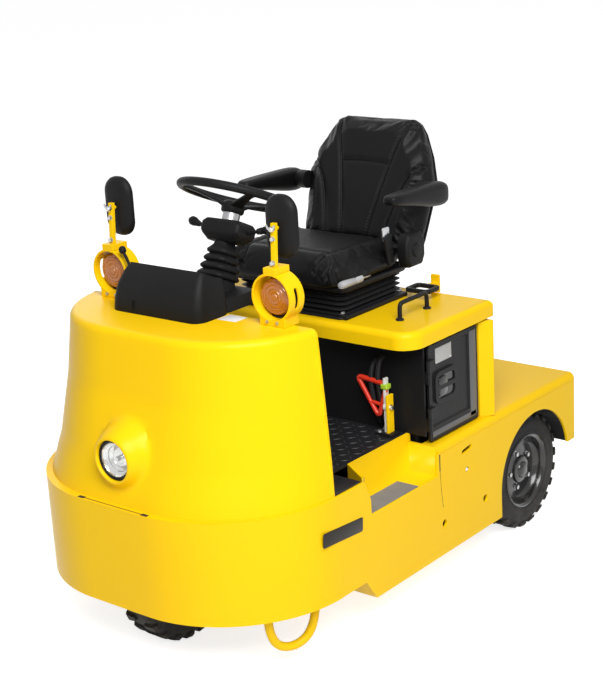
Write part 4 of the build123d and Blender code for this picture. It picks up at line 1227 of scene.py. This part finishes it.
class TOW_OT_seat_base(bpy.types.Operator):
    """Build the folded skirt under the seat, its pan, rails, adjuster and belt pieces"""

    bl_idname = "tow.seat_base"
    bl_label = "Seat base and belt"

    def execute(self, context):
        bm = bmesh.new()
        place = Matrix.Identity(4)
        place.translation = at(-105, 0, 0)
        sections = [(rounded(300, 400, 24), 868)]
        folds = 4
        for k in range(folds):
            z = 870 + k * 16
            for wide, step in ((286, 0), (296, 3), (314, 8), (296, 13)):
                sections.append((rounded(wide, wide + 106, 26), z + step))
        sections.append((rounded(300, 406, 24), 936))
        loft(bm, place, sections)
        piece("seat_bellows", bm, "rubber_mat", "hood", ("seat_suspension",), smooth=50)
        bm = bmesh.new()
        slab(bm, place, rounded(340, 430, 20), 852.3, 860)
        slab(bm, place, rounded(318, 412, 16), 860, 868)
        slab(bm, place, rounded(338, 448, 30), 936, 944)
        slab(bm, place, rounded(352, 462, 34), 944, 956)
        for side in (1, -1):
            block(bm, (-262, side * 214 - 12, 852.3), (58, side * 214 + 12, 866))
        piece("seat_pan", bm, "black_paint", "hood", ease=0.003, rounds=3)
        bm = bmesh.new()
        turn(
            bm,
            axes((-21, 228, 968), (1, 0, 0), (0, 1, 0)),
            (
                (0, 0), (9, 0), (12, 3), (12, 30), (10.5, 33), (10.5, 38), (12, 41), (12, 94), (10, 104),
                (0, 109),
            ),
            20,
        )
        piece("seat_adjuster_grip", bm, "grey_plastic", "hood", smooth=40)
        bm = bmesh.new()
        sweep(
            bm,
            curve_points([at(-90, 214, 962), at(-60, 228, 964), at(-40, 228, 968), at(-16, 228, 968)]),
            0.005,
            10,
        )
        piece("seat_adjuster_rod", bm, "steel", "hood", smooth=60)
        rows = [((-105 + sx * 148, sy * 200, 868), (0, 0, 1)) for sx in (1, -1) for sy in (1, -1)]
        rows += [((60, y, 950), (1, 0, 0)) for y in (-150, 150)]
        bolted("seat_bolts", rows, 7, 6, "hood")

        bm = bmesh.new()
        hexagon = [(-34, -52), (34, -52), (48, -26), (48, 26), (34, 52), (-34, 52), (-48, 26), (-48, -26)]
        reel = axes((-225, 253, 1017), (0, 1, 0), (1, 0, 0))
        inner = [(x * 0.86, y * 0.86) for x, y in hexagon]
        loft(bm, reel, ((hexagon, 0), (hexagon, 32), (inner, 40)))
        turn(bm, reel, ((0, 38), (22, 38), (22, 43), (19, 44), (0, 44)), 24)
        piece("belt_reel", bm, "black_plastic", "hood", ("belt_units",), ease=0.003, rounds=3)
        bm = bmesh.new()
        lean = axes((-150, 247, 985), (0.22, 0, 0.975), (1, 0, 0))
        slab(bm, lean, rounded(30, 12, 4), 0, 58)
        slab(bm, lean, rounded(38, 20, 7), 52, 96)
        piece("belt_buckle", bm, "black_plastic", "hood", ease=0.002, rounds=3)
        bm = bmesh.new()
        tongue = axes((-128, 247, 1082), (0, 1, 0), (1, 0, 0))
        plate = rounded(34, 44, 8)
        window = rounded(22, 9, 4)
        loft(bm, tongue, ((plate, -2), (plate, 2)))
        loft(bm, tongue, (([(x, y + 9) for x, y in window], 2), ([(x, y + 9) for x, y in window], 2.8)))
        piece("belt_tongue", bm, "zinc", "hood", ease=0.001)
        return {"FINISHED"}


# Wheels


wheel_radius = 200


def wheel_place(body):
    """Placing matrix of a wheel, its Z axis out of the wheel's open side."""
    centres = {
        "front_wheel": (636, 0, 1), "rear_left_wheel": (-568, 414, 1), "rear_right_wheel": (-568, -414, -1)
    }
    x, y, side = centres[body]
    return axes((x, y, wheel_radius), (0, side, 0), (1, 0, 0))


class TOW_OT_tyres(bpy.types.Operator):
    """Build the three tyres with their tread lugs"""

    bl_idname = "tow.tyres"
    bl_label = "Tyres"

    def execute(self, context):
        s = context.scene.tow_wheels
        lug_lean = 0.12
        # columns: radius, half width
        half_profile = (
            (118, 44), (124, 50), (130, 53.5), (133, 55.8), (136, 54), (150, 55.5), (164, 55.5), (174, 53),
            (182, 49), (187, 43), (189.5, 34), (190, 12),
        )
        profile = [(r, -h) for r, h in half_profile] + list(half_profile[::-1])
        for body, node in (
            ("front_wheel", "front_tyre"), ("rear_left_wheel", "rear_left_tyre"),
            ("rear_right_wheel", "rear_right_tyre"),
        ):
            place = wheel_place(body)
            bm = bmesh.new()
            turn(bm, place, profile, 72, loop=True)
            piece(node + "_carcass", bm, "tyre_rubber", body, (node,), smooth=50)
            for side, label in ((1, "outer"), (-1, "inner")):
                lug = bmesh.new()
                rings = []
                # columns: depth across the tread, half length round it, drop of the base, drop of the top
                for depth, part, low, high in (
                    (12, 9, 12, 0.5), (30, 12, 12, 0.5), (46, 14, 14, 2.5), (54, 13, 22, 12)
                ):
                    top = part - 1.5
                    corners = ((low, -part), (high, -top), (high, top), (low, part))
                    rings.append(
                        [at(-drop, turned + depth * lug_lean, side * depth) for drop, turned in corners]
                    )
                bridge(lug, rings)
                mesh = grow(
                    trees["ring"],
                    {"Count": s.lugs, "Radius": wheel_radius / 1000, "Material": finishes["tyre_rubber"]},
                    lug,
                )
                if side < 0:
                    mesh.transform(Matrix.Rotation(pi / s.lugs, 4, "Z"))
                mesh.transform(place)
                fixed(node + "_lugs_" + label, mesh, "tyre_rubber", body, smooth=30)
        return {"FINISHED"}


class TOW_OT_rims(bpy.types.Operator):
    """Build the dished rims with hub caps and nuts"""

    bl_idname = "tow.rims"
    bl_label = "Rims"

    def execute(self, context):
        s = context.scene.tow_wheels
        dish = (
            (117, -44), (117, 43), (122, 50), (125, 51), (125.5, 53.5), (121, 55), (116, 52), (112, 46),
            (110, 36), (106, 25), (98, 17), (84, 17), (70, 21), (54, 22), (47, 25), (44, 33), (38, 36),
            (21, 36), (21, -34), (40, -34), (44, 10), (60, 12), (84, 7), (98, 5), (107, -8), (110, -44),
        )
        cap = ((0, 47), (14, 46.5), (22, 44), (27, 39), (29, 34), (24, 33), (0, 33))
        for body, node in (
            ("front_wheel", "front_rim"), ("rear_left_wheel", "rear_left_rim"),
            ("rear_right_wheel", "rear_right_rim"),
        ):
            place = wheel_place(body)
            bm = bmesh.new()
            turn(bm, place, dish, 64, loop=True)
            piece(node + "_dish", bm, "rim_paint", body, (node,), smooth=32)
            if body != "front_wheel":
                bm = bmesh.new()
                turn(bm, place, cap, 36)
                piece(node + "_cap", bm, "rim_paint", body, smooth=32)
            nut = hex_bolt(9, 12)
            mesh = grow(
                trees["ring"], {"Count": s.nuts, "Radius": s.nut_circle, "Material": finishes["steel"]}, nut
            )
            mesh.transform(place @ Matrix.Translation((0, 0, 0.0205)))
            fixed(node + "_nuts", mesh, "steel", body)
        return {"FINISHED"}


# Controls

column_axis = (-0.4226, 0, 0.9063)


def column_place(along):
    """Placing matrix on the steering column, X to the driver's left."""
    return axes((385 + column_axis[0] * along, 0, 1005 + column_axis[2] * along), column_axis, (0, 1, 0))


class TOW_OT_steering(bpy.types.Operator):
    """Build the steering wheel with its three spokes and hub"""

    bl_idname = "tow.steering"
    bl_label = "Steering wheel"

    def execute(self, context):
        hub_along = 226.5
        rim_radius = 165
        rim_rise = 54
        place = column_place(hub_along)
        bm = bmesh.new()
        angles = [2 * pi * k / 72 for k in range(72)]
        ring = [place @ (Vector((rim_radius * cos(a), rim_radius * sin(a), rim_rise)) / 1000) for a in angles]
        sweep(bm, ring, 0.013, 16, loop=True)
        turn(bm, place, ((0, 37), (20, 36.5), (29, 33), (33.5, 27), (35, 16), (34, 4), (30, 0), (0, 0)), 40)
        for angle in (90, 210, 330):
            spin = Matrix.Rotation(radians(angle), 4, "Z")
            sections = []
            # columns: distance from the hub, height, half width, half thickness
            for r, h, wide, thick in ((24, 20, 20, 8), (52, 30, 17, 5), (110, 45, 13, 4.5), (158, 53, 15, 5)):
                sections.append(
                    [
                        place @ spin @ (Vector((r, y, h + z)) / 1000)
                        for y, z in rounded(2 * wide, 2 * thick, thick * 0.9, 3)
                    ]
                )
            bridge(bm, sections)
        piece("steering_wheel_rim", bm, "black_plastic", "steering_wheel", ("steering_wheel",), smooth=45)
        return {"FINISHED"}


class TOW_OT_dash(bpy.types.Operator):
    """Build the dash housing, column boot, switch box and levers"""

    bl_idname = "tow.dash"
    bl_label = "Dash and column"

    def execute(self, context):
        hump = bmesh.new()
        rings = []
        # columns: height, back, front, right end, left end, corner radius, fall of the rim towards the seat
        for z, back, front, right, left, corner, fall in (
            (965.3, 452, 596, -232, 124, 38, 0),
            (1000, 452, 592, -228, 121, 34, 0),
            (1040, 452, 580, -220, 115, 28, 0),
            (1076, 453, 560, -206, 107, 22, 12),
            (1094, 455, 545, -197, 101, 18, 30),
            (1101, 458, 538, -192, 98, 16, 44),
        ):
            ring = [
                (x + (front + back) / 2, y + (left + right) / 2)
                for x, y in rounded(front - back, left - right, corner)
            ]
            rings.append([at(x, y, z - fall * (front - x) / (front - back)) for x, y in ring])
        bridge(hump, rings)
        slab(hump, Matrix.Identity(4), [(x + 405, y) for x, y in rounded(150, 230, 30)], 965.3, 1005)
        block(hump, (584, -140, 970), (597, -133, 1004))
        piece("dash_hump", hump, "black_plastic", "chassis", ("dash_housing",), ease=0.005, rounds=3)
        bm = bmesh.new()
        place = column_place(0)
        sections = []
        for k in range(5):
            size = 112 - 7 * k
            low = -18 + 27 * k if k == 0 else 4 + 24 * k
            for grow_by, step in ((-16, 0), (-4, 3), (0, 9), (-2, 13), (-12, 20)):
                sections.append((rounded(size + grow_by, size + grow_by, 24, 5), low + step))
        sections.append((rounded(62, 62, 24, 5), 128))
        sections.append((rounded(56, 56, 24, 5), 140))
        loft(bm, place, sections)
        piece("column_boot_folds", bm, "black_plastic", "chassis", ("column_boot",), smooth=50)
        bm = bmesh.new()
        loft(
            bm,
            place,
            (
                (rounded(104, 58, 14), 138), (rounded(140, 84, 16), 156), (rounded(150, 92, 16), 166),
                (rounded(150, 92, 16), 190), (rounded(130, 78, 16), 202),
            ),
        )
        piece("switch_box_shell", bm, "black_plastic", "chassis", ("switch_box",), ease=0.003, rounds=3)
        bm = bmesh.new()
        for side, grip in (
            (-1, ((0, 0), (5, 0), (5, 42), (8, 46), (10, 56), (14, 70), (14, 80), (9, 88), (0, 90))),
            (
                1,
                (
                    (0, 0), (5, 0), (5, 40), (9, 44), (9, 50), (10.5, 52), (9, 54), (10.5, 56), (9, 58),
                    (10.5, 60), (9, 62), (12, 70), (12, 82), (8, 89), (0, 90),
                ),
            ),
        ):
            start = place @ Vector((side * 0.070, 0, 0.172))
            rise = (place.to_3x3() @ Vector((side, 0, 0.25))).normalized()
            turn(bm, axes([1000 * v for v in start], rise, (1, 0, 0)), grip, 20)
        piece("column_lever_grips", bm, "black_plastic", "chassis", ("column_levers",), smooth=40)
        bm = bmesh.new()
        lever = curve_points(
            [at(503, -222, 1062), at(503, -226, 1080), at(503, -238, 1100), at(503, -250, 1118)]
        )
        sweep(bm, lever, 0.005, 10)
        turn(
            bm,
            axes((503, -246, 1112), (0, -0.48, 0.88), (1, 0, 0)),
            ((0, 0), (8, 0), (11, 5), (11, 14), (7, 20), (0, 22)),
            20,
        )
        block(bm, (494, -230, 1040), (512, -214, 1066))
        piece("dash_lever", bm, "black_plastic", "chassis", smooth=40)
        bm = bmesh.new()
        # columns: x, y of the blank label's corners on the cowl's top
        corners = ((524, 128), (470, 130), (470, 196), (520, 194))
        bridge(bm, [[at(x, y, z) for x, y in corners] for z in (965.2, 966.0)])
        piece("cowl_label", bm, "label_white", "chassis", ease=0.0002)
        return {"FINISHED"}


# Lamps and mirrors; the two sides' lamp guards and stalks stand at this distance from the middle
lamp_y = 315
lamp_z = 1045
mirror_z = 1234


class TOW_OT_lamps(bpy.types.Operator):
    """Build the headlight, the indicators and the tail lamps"""

    bl_idname = "tow.lamps"
    bl_label = "Lamps"

    def execute(self, context):
        nose = axes((pod_x, 0, pod_z), (1, 0, 0), (0, 1, 0))
        bm = bmesh.new()
        turn(
            bm,
            nose,
            ((52, -34), (60, -34), (60, -12), (58, -9), (55, -8.5), (52.5, -11), (52, -13)),
            56,
            loop=True,
        )
        sleeve = bmesh.new()
        turn(sleeve, nose, ((63, -36), (63, -0.5), (61.6, -0.2), (60.4, -2), (60.2, -36)), 56, loop=True)
        piece("headlight_sleeve", sleeve, "yellow_paint", "chassis", smooth=40)
        piece("headlight_ring", bm, "black_plastic", "chassis", ("headlight_bezel",), smooth=40)
        bm = bmesh.new()
        turn(
            bm,
            nose,
            (
                (51.8, -14), (50, -19), (44, -25), (38, -26), (37, -29), (26, -33), (25, -35), (12, -37),
                (7, -37), (7, -26), (5, -22), (0, -21),
            ),
            56,
        )
        piece("headlight_bowl", bm, "reflector", "chassis", smooth=50)
        bm = bmesh.new()
        turn(
            bm,
            nose,
            ((0, -4), (22, -4.8), (40, -7.4), (49, -10.4), (51.8, -12), (50, -14), (34, -9.4), (0, -7)),
            56,
        )
        piece("headlight_glass", bm, "clear_lens", "chassis", ("headlight_lens",), smooth=50)
        lens = bmesh.new()
        seat = bmesh.new()
        for side in (1, -1):
            place = axes((449, side * lamp_y, lamp_z), (1, 0, 0), (0, 1, 0))
            turn(
                lens,
                place,
                (
                    (0, 42), (9, 42), (11, 39.5), (13, 40.5), (20, 40.5), (22, 38.5), (24, 39.8),
                    (32, 39.4), (34, 37.5), (36, 38.8), (42, 38), (44, 36.2), (46, 37), (50, 35), (52, 31),
                    (52.5, 24), (52.5, 12), (0, 12),
                ),
                56,
            )
            turn(seat, place, ((0, 12), (55, 12), (55, 6), (50, 0.5), (0, 0.5)), 56)
            slab(seat, place, [(x, y - 56) for x, y in rounded(44, 16, 4)], 2, 26)
        piece("indicator_lenses", lens, "amber_lens", "chassis", ("turn_lamps",), smooth=28)
        piece("indicator_backs", seat, "black_plastic", "chassis", smooth=40)
        eased("lamp_guards", "yellow_paint", 0.0016, 2)
        rows = [((503, side * lamp_y + dy, 976), (1, 0, 0)) for side in (1, -1) for dy in (-18, 18)]
        bolted("lamp_bolts", rows, 5, 5, "chassis")
        tail = bmesh.new()
        rim = bmesh.new()
        for side in (1, -1):
            place = axes((-824, side * 390, 380), (-1, 0, 0), (0, 1, 0))
            turn(
                tail,
                place,
                ((0, 24), (10, 24), (12, 22), (20, 22.8), (22, 21), (30, 21.4), (35, 18), (36, 8), (0, 8)),
                40,
            )
            turn(rim, place, ((36.4, 0.3), (42, 0.3), (42, 10), (40, 13), (36.4, 12)), 40, loop=True)
        piece("tail_lenses", tail, "red_lens", "chassis", ("tail_lamps",), smooth=28)
        piece("tail_rims", rim, "black_plastic", "chassis", smooth=40)
        return {"FINISHED"}


class TOW_OT_mirrors(bpy.types.Operator):
    """Build the two mirrors, their glasses, stalks and clamps"""

    bl_idname = "tow.mirrors"
    bl_label = "Mirrors"

    def execute(self, context):
        shell = bmesh.new()
        glass = bmesh.new()
        for side in (1, -1):
            place = axes((430, side * lamp_y, mirror_z), (1, 0, 0), (0, 1, 0))
            loft(
                shell,
                place,
                (
                    (rounded(98, 168, 42, 8), -2.6), (rounded(108, 178, 48, 8), 0),
                    (rounded(108, 178, 48, 8), 7), (rounded(102, 172, 46, 8), 14),
                    (rounded(84, 152, 38, 8), 21), (rounded(52, 110, 24, 8), 25.5),
                ),
            )
            loft(glass, place, ((rounded(92, 162, 40, 8), -3), (rounded(92, 162, 40, 8), -2)))
        piece("mirror_housings", shell, "black_plastic", "chassis", ("mirror_shells",), smooth=50)
        piece("mirror_faces", glass, "mirror_glass", "chassis", ("mirror_glasses",), smooth=30)
        eased("mirror_stalks", "yellow_paint", 0.0012, 2)
        rows = [((478, side * lamp_y, 1206), (1, 0, 0)) for side in (1, -1)] + [
            ((484, side * lamp_y, 1140), (1, 0, 0)) for side in (1, -1)
        ]
        bolted("mirror_bolts", rows, 7, 8, "chassis")
        bm = bmesh.new()
        for side in (1, -1):
            for lean in (1, -1):
                wing = [
                    at(484, side * lamp_y + lean * y, mirror_z + z)
                    for y, z in ((3, -4), (12, 2), (17, 12), (13, 15), (6, 6), (2, 4))
                ]
                far = [p + at(4, 0, 0) for p in wing]
                bridge(bm, [wing, far])
            turn(
                bm,
                axes((470, side * lamp_y, mirror_z), (1, 0, 0), (0, 1, 0)),
                ((0, 0), (8, 0), (8, 14), (6, 19), (0, 20)),
                20,
            )
        piece("mirror_clamps", bm, "zinc", "chassis", ease=0.001)
        return {"FINISHED"}


# Doors, lid and floor


class TOW_OT_doors(bpy.types.Operator):
    """Finish the battery doors with latches, edge strips and a blank plate"""

    bl_idname = "tow.doors"
    bl_label = "Battery doors"

    def execute(self, context):
        for side, label in ((1, "left"), (-1, "right")):
            body = "battery_door_" + label
            for node in [n for n in cad if home[n] == body]:
                eased(node, "black_paint", 0.0012, 2)
            strips = bmesh.new()
            for low, high in (((-262, 496), (-24, 514)), ((-268, 500), (-232, 776))):
                corners = ((low[0], low[1]), (high[0], low[1]), (high[0], high[1]), (low[0], high[1]))
                bridge(strips, [[at(x, side * y, z) for x, z in corners] for y in (471.5, 472.8)])
            piece("door_strips_" + label, strips, "grey_paint", body, ease=0.0006)
            grip = bmesh.new()
            latch = axes((-102, side * 468.5, 644), (0, side, 0), (-side, 0, 0))
            loft(
                grip,
                latch,
                ((rounded(92, 78, 18), 0), (rounded(92, 78, 18), 1.5), (rounded(84, 70, 16), 0.8)),
            )
            paddle = [(x - 16, y) for x, y in rounded(46, 62, 14)]
            lip = [(x - 16, y) for x, y in rounded(38, 54, 12)]
            loft(grip, latch, ((paddle, 0.4), (paddle, 4.5), (lip, 6.4)))
            piece("door_latch_" + label, grip, "rim_paint", body, ease=0.0016, rounds=3)
            plate = bmesh.new()
            slab(
                plate,
                axes((-97, side * 466.6, 748), (0, side, 0), (-side, 0, 0)),
                rounded(86, 54, 3),
                0,
                1.6,
            )
            piece("door_plate_" + label, plate, "label_blank", body, ease=0.0004)
            rivets = [
                ((-97 + dx * 38, side * 468, 748 + dz * 22), (0, side, 0))
                for dx in (1, -1)
                for dz in (1, -1)
            ]
            rivet = bmesh.new()
            turn(rivet, Matrix.Identity(4), ((0, 0), (2.6, 0), (2.2, 1), (1.2, 1.5), (0, 1.6)), 10)
            mesh = grow(trees["places"], {"Material": finishes["zinc"]}, rivet, places(rivets))
            fixed("door_rivets_" + label, mesh, "zinc", body)
        return {"FINISHED"}


class TOW_OT_hood(bpy.types.Operator):
    """Finish the hood, its handle and its release pull"""

    bl_idname = "tow.hood"
    bl_label = "Hood"

    def execute(self, context):
        eased("hood", "yellow_paint", 0.0012, 2)
        eased("pull_post", "yellow_paint", 0.002, 3)
        eased("pull_loop", "black_paint", 0.004, 4, 50)
        bm = bmesh.new()
        path = curve_points(
            [
                at(-168, 364, 853), at(-168, 364, 885), at(-166, 364, 904), at(-146, 364, 904),
                at(-47, 364, 904), at(-27, 364, 904), at(-25, 364, 885), at(-25, 364, 853),
            ]
        )
        sweep(bm, path, 0.007, 14)
        for x in (-168, -25):
            turn(
                bm, axes((x, 364, 852.3), (0, 0, 1), (1, 0, 0)), ((0, 0), (13, 0), (13, 3), (9, 6), (0, 6)),
                20,
            )
        piece("hood_handle_bar", bm, "black_paint", "hood", ("hood_handle",), smooth=60)
        return {"FINISHED"}


class TOW_OT_floor(bpy.types.Operator):
    """Raise the lozenges on the footwell plate and ease its edges"""

    bl_idname = "tow.floor"
    bl_label = "Footwell plate"

    def execute(self, context):
        s = context.scene.tow_floor
        eased("footwell_floor", "plate_black", 0.001, 2)
        mark = bmesh.new()
        field_long, field_wide = 0.535, 0.75
        long, half_wide = s.mark * 500, 4.2
        outline = [
            (long * c, half_wide * d)
            for c, d in (
                (1, 0), (0.5, 0.8), (0, 1), (-0.5, 0.8), (-1, 0), (-0.5, -0.8), (0, -1), (0.5, -0.8)
            )
        ]
        loft(mark, Matrix.Identity(4), ((outline, 0), ([(x * 0.78, y * 0.55) for x, y in outline], 1.8)))
        rows = int(field_long / s.pitch)
        columns = int(field_wide / s.pitch)
        values = {
            "Length": rows * s.pitch, "Width": columns * s.pitch, "Rows": rows + 1, "Columns": columns + 1,
            "Material": finishes["plate_black"],
        }
        mesh = grow(trees["field"], values, mark)
        mesh.transform(Matrix.Translation(at(282, 0, 505)))
        fixed("footwell_lozenges", mesh, "plate_black", "chassis")
        return {"FINISHED"}


class TOW_OT_brake(bpy.types.Operator):
    """Build the parking brake, its clip, cables and the pedals"""

    bl_idname = "tow.brake"
    bl_label = "Brake and pedals"

    def execute(self, context):
        coats = ["white_paint", "yellow_paint", "black_paint"]
        eased("brake_arm", coats, 0.0012, 2, pick=self.arm_coat)
        loop = bmesh.new()
        corners = [at(42, 242, 678), at(42, 354, 666), at(42, 322, 556)]
        sweep(loop, round_path(corners, 0.022), 0.0078, 14, loop=True)
        sweep(loop, [corners[0].lerp(corners[2], 0.62), corners[1].lerp(corners[2], 0.62)], 0.006, 12)
        piece("brake_loop", loop, "red_grip", "chassis", ("brake_handle",), smooth=60)
        clip = bmesh.new()
        block(clip, (30, 338, 652), (54, 362, 668))
        piece("brake_clip", clip, "green_paint", "chassis", ease=0.003, rounds=3)
        bolted(
            "brake_bolts",
            [((42, 366, 595), (0, 1, 0)), ((28, 332, 515), (0, 0, 1)), ((56, 332, 515), (0, 0, 1))],
            8,
            8,
            "chassis",
        )
        tubes = bmesh.new()
        for y, drop in ((318, 0), (292, 14)):
            guide = [
                at(4, y, 740 - drop), at(22, y, 738 - drop), at(40, y, 700 - drop), at(40, y + 4, 640),
                at(30, y + 10, 570), at(14, y + 10, 530), at(4, y + 10, 524),
            ]
            sweep(tubes, curve_points(guide), 0.008, 12)
        piece("brake_tubes", tubes, "rubber_mat", "chassis", smooth=60)
        eased("pedals", "rubber_mat", 0.002, 2)
        face = Vector((-cos(radians(35)), 0, sin(radians(35))))
        ribs = bmesh.new()
        for y, wide, tall in ((-170, 70, 120), (-40, 110, 70)):
            place = axes((470, y, 595), face, (0, 1, 0))
            for k in range(int(tall / 14)):
                along = -tall / 2 + 10 + 14 * k
                slab(ribs, place, [(a, b + along) for a, b in rounded(wide - 14, 5, 2, 3)], 10, 13)
        piece("pedal_ribs", ribs, "rubber_mat", "chassis", ease=0.0008)
        return {"FINISHED"}

    def arm_coat(self, face):
        """Black on the arm's foot, yellow on its outer face and white on the rest."""
        if face.center.z < 0.5155:
            return 2
        return 1 if face.center.y > 0.3555 else 0


class TOW_OT_trim(bpy.types.Operator):
    """Add the blank badge plates, the panel seams and slits and the nose slot drawn as painted shade, lock
    and panel bolts
    """

    bl_idname = "tow.trim"
    bl_label = "Side trim"

    def execute(self, context):
        badge = bmesh.new()
        seam = bmesh.new()
        lock = bmesh.new()
        slit = bmesh.new()
        for side in (1, -1):
            place = axes((475, side * 503.6, 381), (0, side, 0), (-side * 0.997, 0, -side * 0.077))
            loft(
                badge,
                place,
                ((rounded(182, 43, 6), 0), (rounded(182, 43, 6), 1.4), (rounded(178, 39, 5), 2.2)),
            )
            # painted shade: the side seams and slits are dark lines standing for the shade inside the panel
            # gaps
            sweep(
                seam,
                [at(-9, side * 503.7, 398), at(-12, side * 503.7, 340), at(-20, side * 503.7, 276)],
                0.0010,
                6,
            )
            block(slit, (-11, min(side * 503, side * 504.4), 398), (-6, max(side * 503, side * 504.4), 452))
            turn(
                lock,
                axes((-158, side * 497, 353), (0, side, 0), (1, 0, 0)),
                ((0, 5), (5.5, 5), (6.5, 4), (6.5, 0), (0, 0)),
                20,
            )
        # painted shade: a dark bar and two dark end blocks fill the nose slot where the cowl meets the skirt,
        # standing for the shade in that gap
        slot = bmesh.new()
        block(slot, (867, -116, 484), (872, 116, 493.6))
        for side in (1, -1):
            block(slot, (862, side * 125 - 13, 484), (876, side * 125 + 13, 494.2))
        piece("nose_slot_shade", slot, "dark_gap", "chassis", ease=0.0005)
        piece("side_badges", badge, "badge_black", "chassis", ease=0.0004)
        piece("side_seams", seam, "dark_gap", "chassis", smooth=60)
        piece("side_slits", slit, "dark_gap", "chassis", ease=0.0003)
        piece("side_locks", lock, "zinc", "chassis", smooth=40)
        rows = [((-824, y, z), (-1, 0, 0)) for y in (-470, -230, 230, 470) for z in (270, 430)]
        rows += [((-824, y, z), (-1, 0, 0)) for y in (-86, 86) for z in (270, 390)]
        bolted("tail_bolts", rows, 8, 7, "chassis")
        return {"FINISHED"}


# Stage


class TOW_OT_stage(bpy.types.Operator):
    """Lay the floor, hang the lights and set the camera"""

    bl_idname = "tow.stage"
    bl_label = "Stage"

    def execute(self, context):
        scene = context.scene
        s = scene.tow_stage
        floor_half = 30
        floor_glow = 0.80
        scene.view_settings.view_transform = "Standard"
        bm = bmesh.new()
        bmesh.ops.create_grid(bm, x_segments=8, y_segments=8, size=floor_half)
        mesh = bpy.data.meshes.new("studio_floor")
        bm.to_mesh(mesh)
        bm.free()
        floor = bpy.data.objects.new("studio_floor", mesh)
        scene.collection.objects.link(floor)
        material = bpy.data.materials.new("studio_floor")
        material.use_nodes = True
        tree = material.node_tree
        tree.nodes.remove(tree.nodes["Principled BSDF"])
        end = tree.nodes["Material Output"]
        matt = tree.nodes.new("ShaderNodeBsdfDiffuse")
        matt.inputs["Color"].default_value = (*s.floor, 1)
        glow = tree.nodes.new("ShaderNodeEmission")
        tree.links.new(self.seen(tree, floor_glow, 0.0), glow.inputs["Strength"])
        both = tree.nodes.new("ShaderNodeAddShader")
        tree.links.new(matt.outputs[0], both.inputs[0])
        tree.links.new(glow.outputs[0], both.inputs[1])
        tree.links.new(both.outputs[0], end.inputs["Surface"])
        floor.data.materials.append(material)

        world = bpy.data.worlds.new("studio")
        world.use_nodes = True
        scene.world = world
        back = world.node_tree.nodes["Background"]
        back.inputs["Color"].default_value = (1, 1, 1, 1)
        world.node_tree.links.new(self.seen(world.node_tree, 1.0, s.sky), back.inputs["Strength"])

        # columns: name, place, aim, power, size
        for name, place, aim, power, size in (
            ("key", (2.55, 2.8, 4.15), (0.0, 0.0, 0.6), s.key, 3.0),
            ("fill", (-2.6, -4.4, 2.6), (0.0, 0.0, 0.6), s.fill, 2.5),
        ):
            lamp = bpy.data.lights.new(name, "AREA")
            lamp.energy = power
            lamp.size = size
            obj = bpy.data.objects.new(name, lamp)
            obj.matrix_world = self.look(Vector(place), Vector(aim))
            scene.collection.objects.link(obj)

        # stand and turns in radians of the camera, fitted to the photograph
        stand = Vector((3.5787, 2.9939, 2.1622))
        yaw, pitch, roll = 3.83948, 0.30178, -0.05902
        ahead = Vector((cos(yaw) * cos(pitch), sin(yaw) * cos(pitch), -sin(pitch)))
        right = ahead.cross(Vector((0, 0, 1))).normalized()
        up = right.cross(ahead)
        tilted = cos(roll) * right + sin(roll) * up
        upright = cos(roll) * up - sin(roll) * right
        lens = bpy.data.cameras.new("photo_camera")
        lens.lens = s.lens
        lens.sensor_width = 36
        lens.sensor_fit = "AUTO"
        lens.clip_end = 200
        camera = bpy.data.objects.new("photo_camera", lens)
        m = Matrix((tilted, upright, -ahead)).transposed().to_4x4()
        m.translation = stand
        camera.matrix_world = m
        scene.collection.objects.link(camera)
        scene.camera = camera
        return {"FINISHED"}

    def seen(self, tree, shown, other):
        """One strength where the camera, gloss or glass looks, and another for the rest of the light."""
        path = tree.nodes.new("ShaderNodeLightPath")
        total = math_node(tree, "ADD", path.outputs["Is Camera Ray"], path.outputs["Is Glossy Ray"])
        total = math_node(
            tree, "MINIMUM", math_node(tree, "ADD", total, path.outputs["Is Transmission Ray"]), 1.0
        )
        return math_node(tree, "ADD", math_node(tree, "MULTIPLY", total, shown - other), other)

    def look(self, place, aim):
        """Placing matrix that looks from a place at an aim."""
        m = (aim - place).to_track_quat("-Z", "Y").to_matrix().to_4x4()
        m.translation = place
        return m


class TOW_PT_tractor(bpy.types.Panel):
    """Steps of dressing the tow tractor, in order"""

    bl_idname = "TOW_PT_tractor"
    bl_label = "Tow tractor"
    bl_space_type = "VIEW_3D"
    bl_region_type = "UI"
    bl_category = "Tow tractor"

    def draw(self, context):
        for label, kind in groups:
            group = getattr(context.scene, label)
            box = self.layout.box()
            for name in kind.__annotations__:
                box.prop(group, name)
        for step in steps:
            self.layout.operator(step.bl_idname)


steps = (
    TOW_OT_finishes,
    TOW_OT_panels,
    TOW_OT_cowl,
    TOW_OT_seat_pads,
    TOW_OT_seat_base,
    TOW_OT_tyres,
    TOW_OT_rims,
    TOW_OT_steering,
    TOW_OT_dash,
    TOW_OT_lamps,
    TOW_OT_mirrors,
    TOW_OT_doors,
    TOW_OT_hood,
    TOW_OT_floor,
    TOW_OT_brake,
    TOW_OT_trim,
    TOW_OT_stage,
)
groups = (
    ("tow_paint", TowPaint), ("tow_seat", TowSeat), ("tow_wheels", TowWheels), ("tow_floor", TowFloor),
    ("tow_stage", TowStage),
)


def register():
    """Add the settings, the operators and the panel."""
    for name, group in groups:
        bpy.utils.register_class(group)
        setattr(bpy.types.Scene, name, PointerProperty(type=group))
    for item in (*steps, TOW_PT_tractor):
        bpy.utils.register_class(item)


def unregister():
    """Take the panel, the operators and the settings away."""
    for item in (TOW_PT_tractor, *steps[::-1]):
        bpy.utils.unregister_class(item)
    for name, group in groups[::-1]:
        delattr(bpy.types.Scene, name)
        bpy.utils.unregister_class(group)


def main():
    """Run every step."""
    register()
    for build in (ring_tree, field_tree, places_tree, seam_tree):
        trees[build.__name__.split("_")[0]] = build()
    for step in steps:
        getattr(bpy.ops.tow, step.bl_idname.split(".")[1])()


if __name__ == "__main__":
    main()
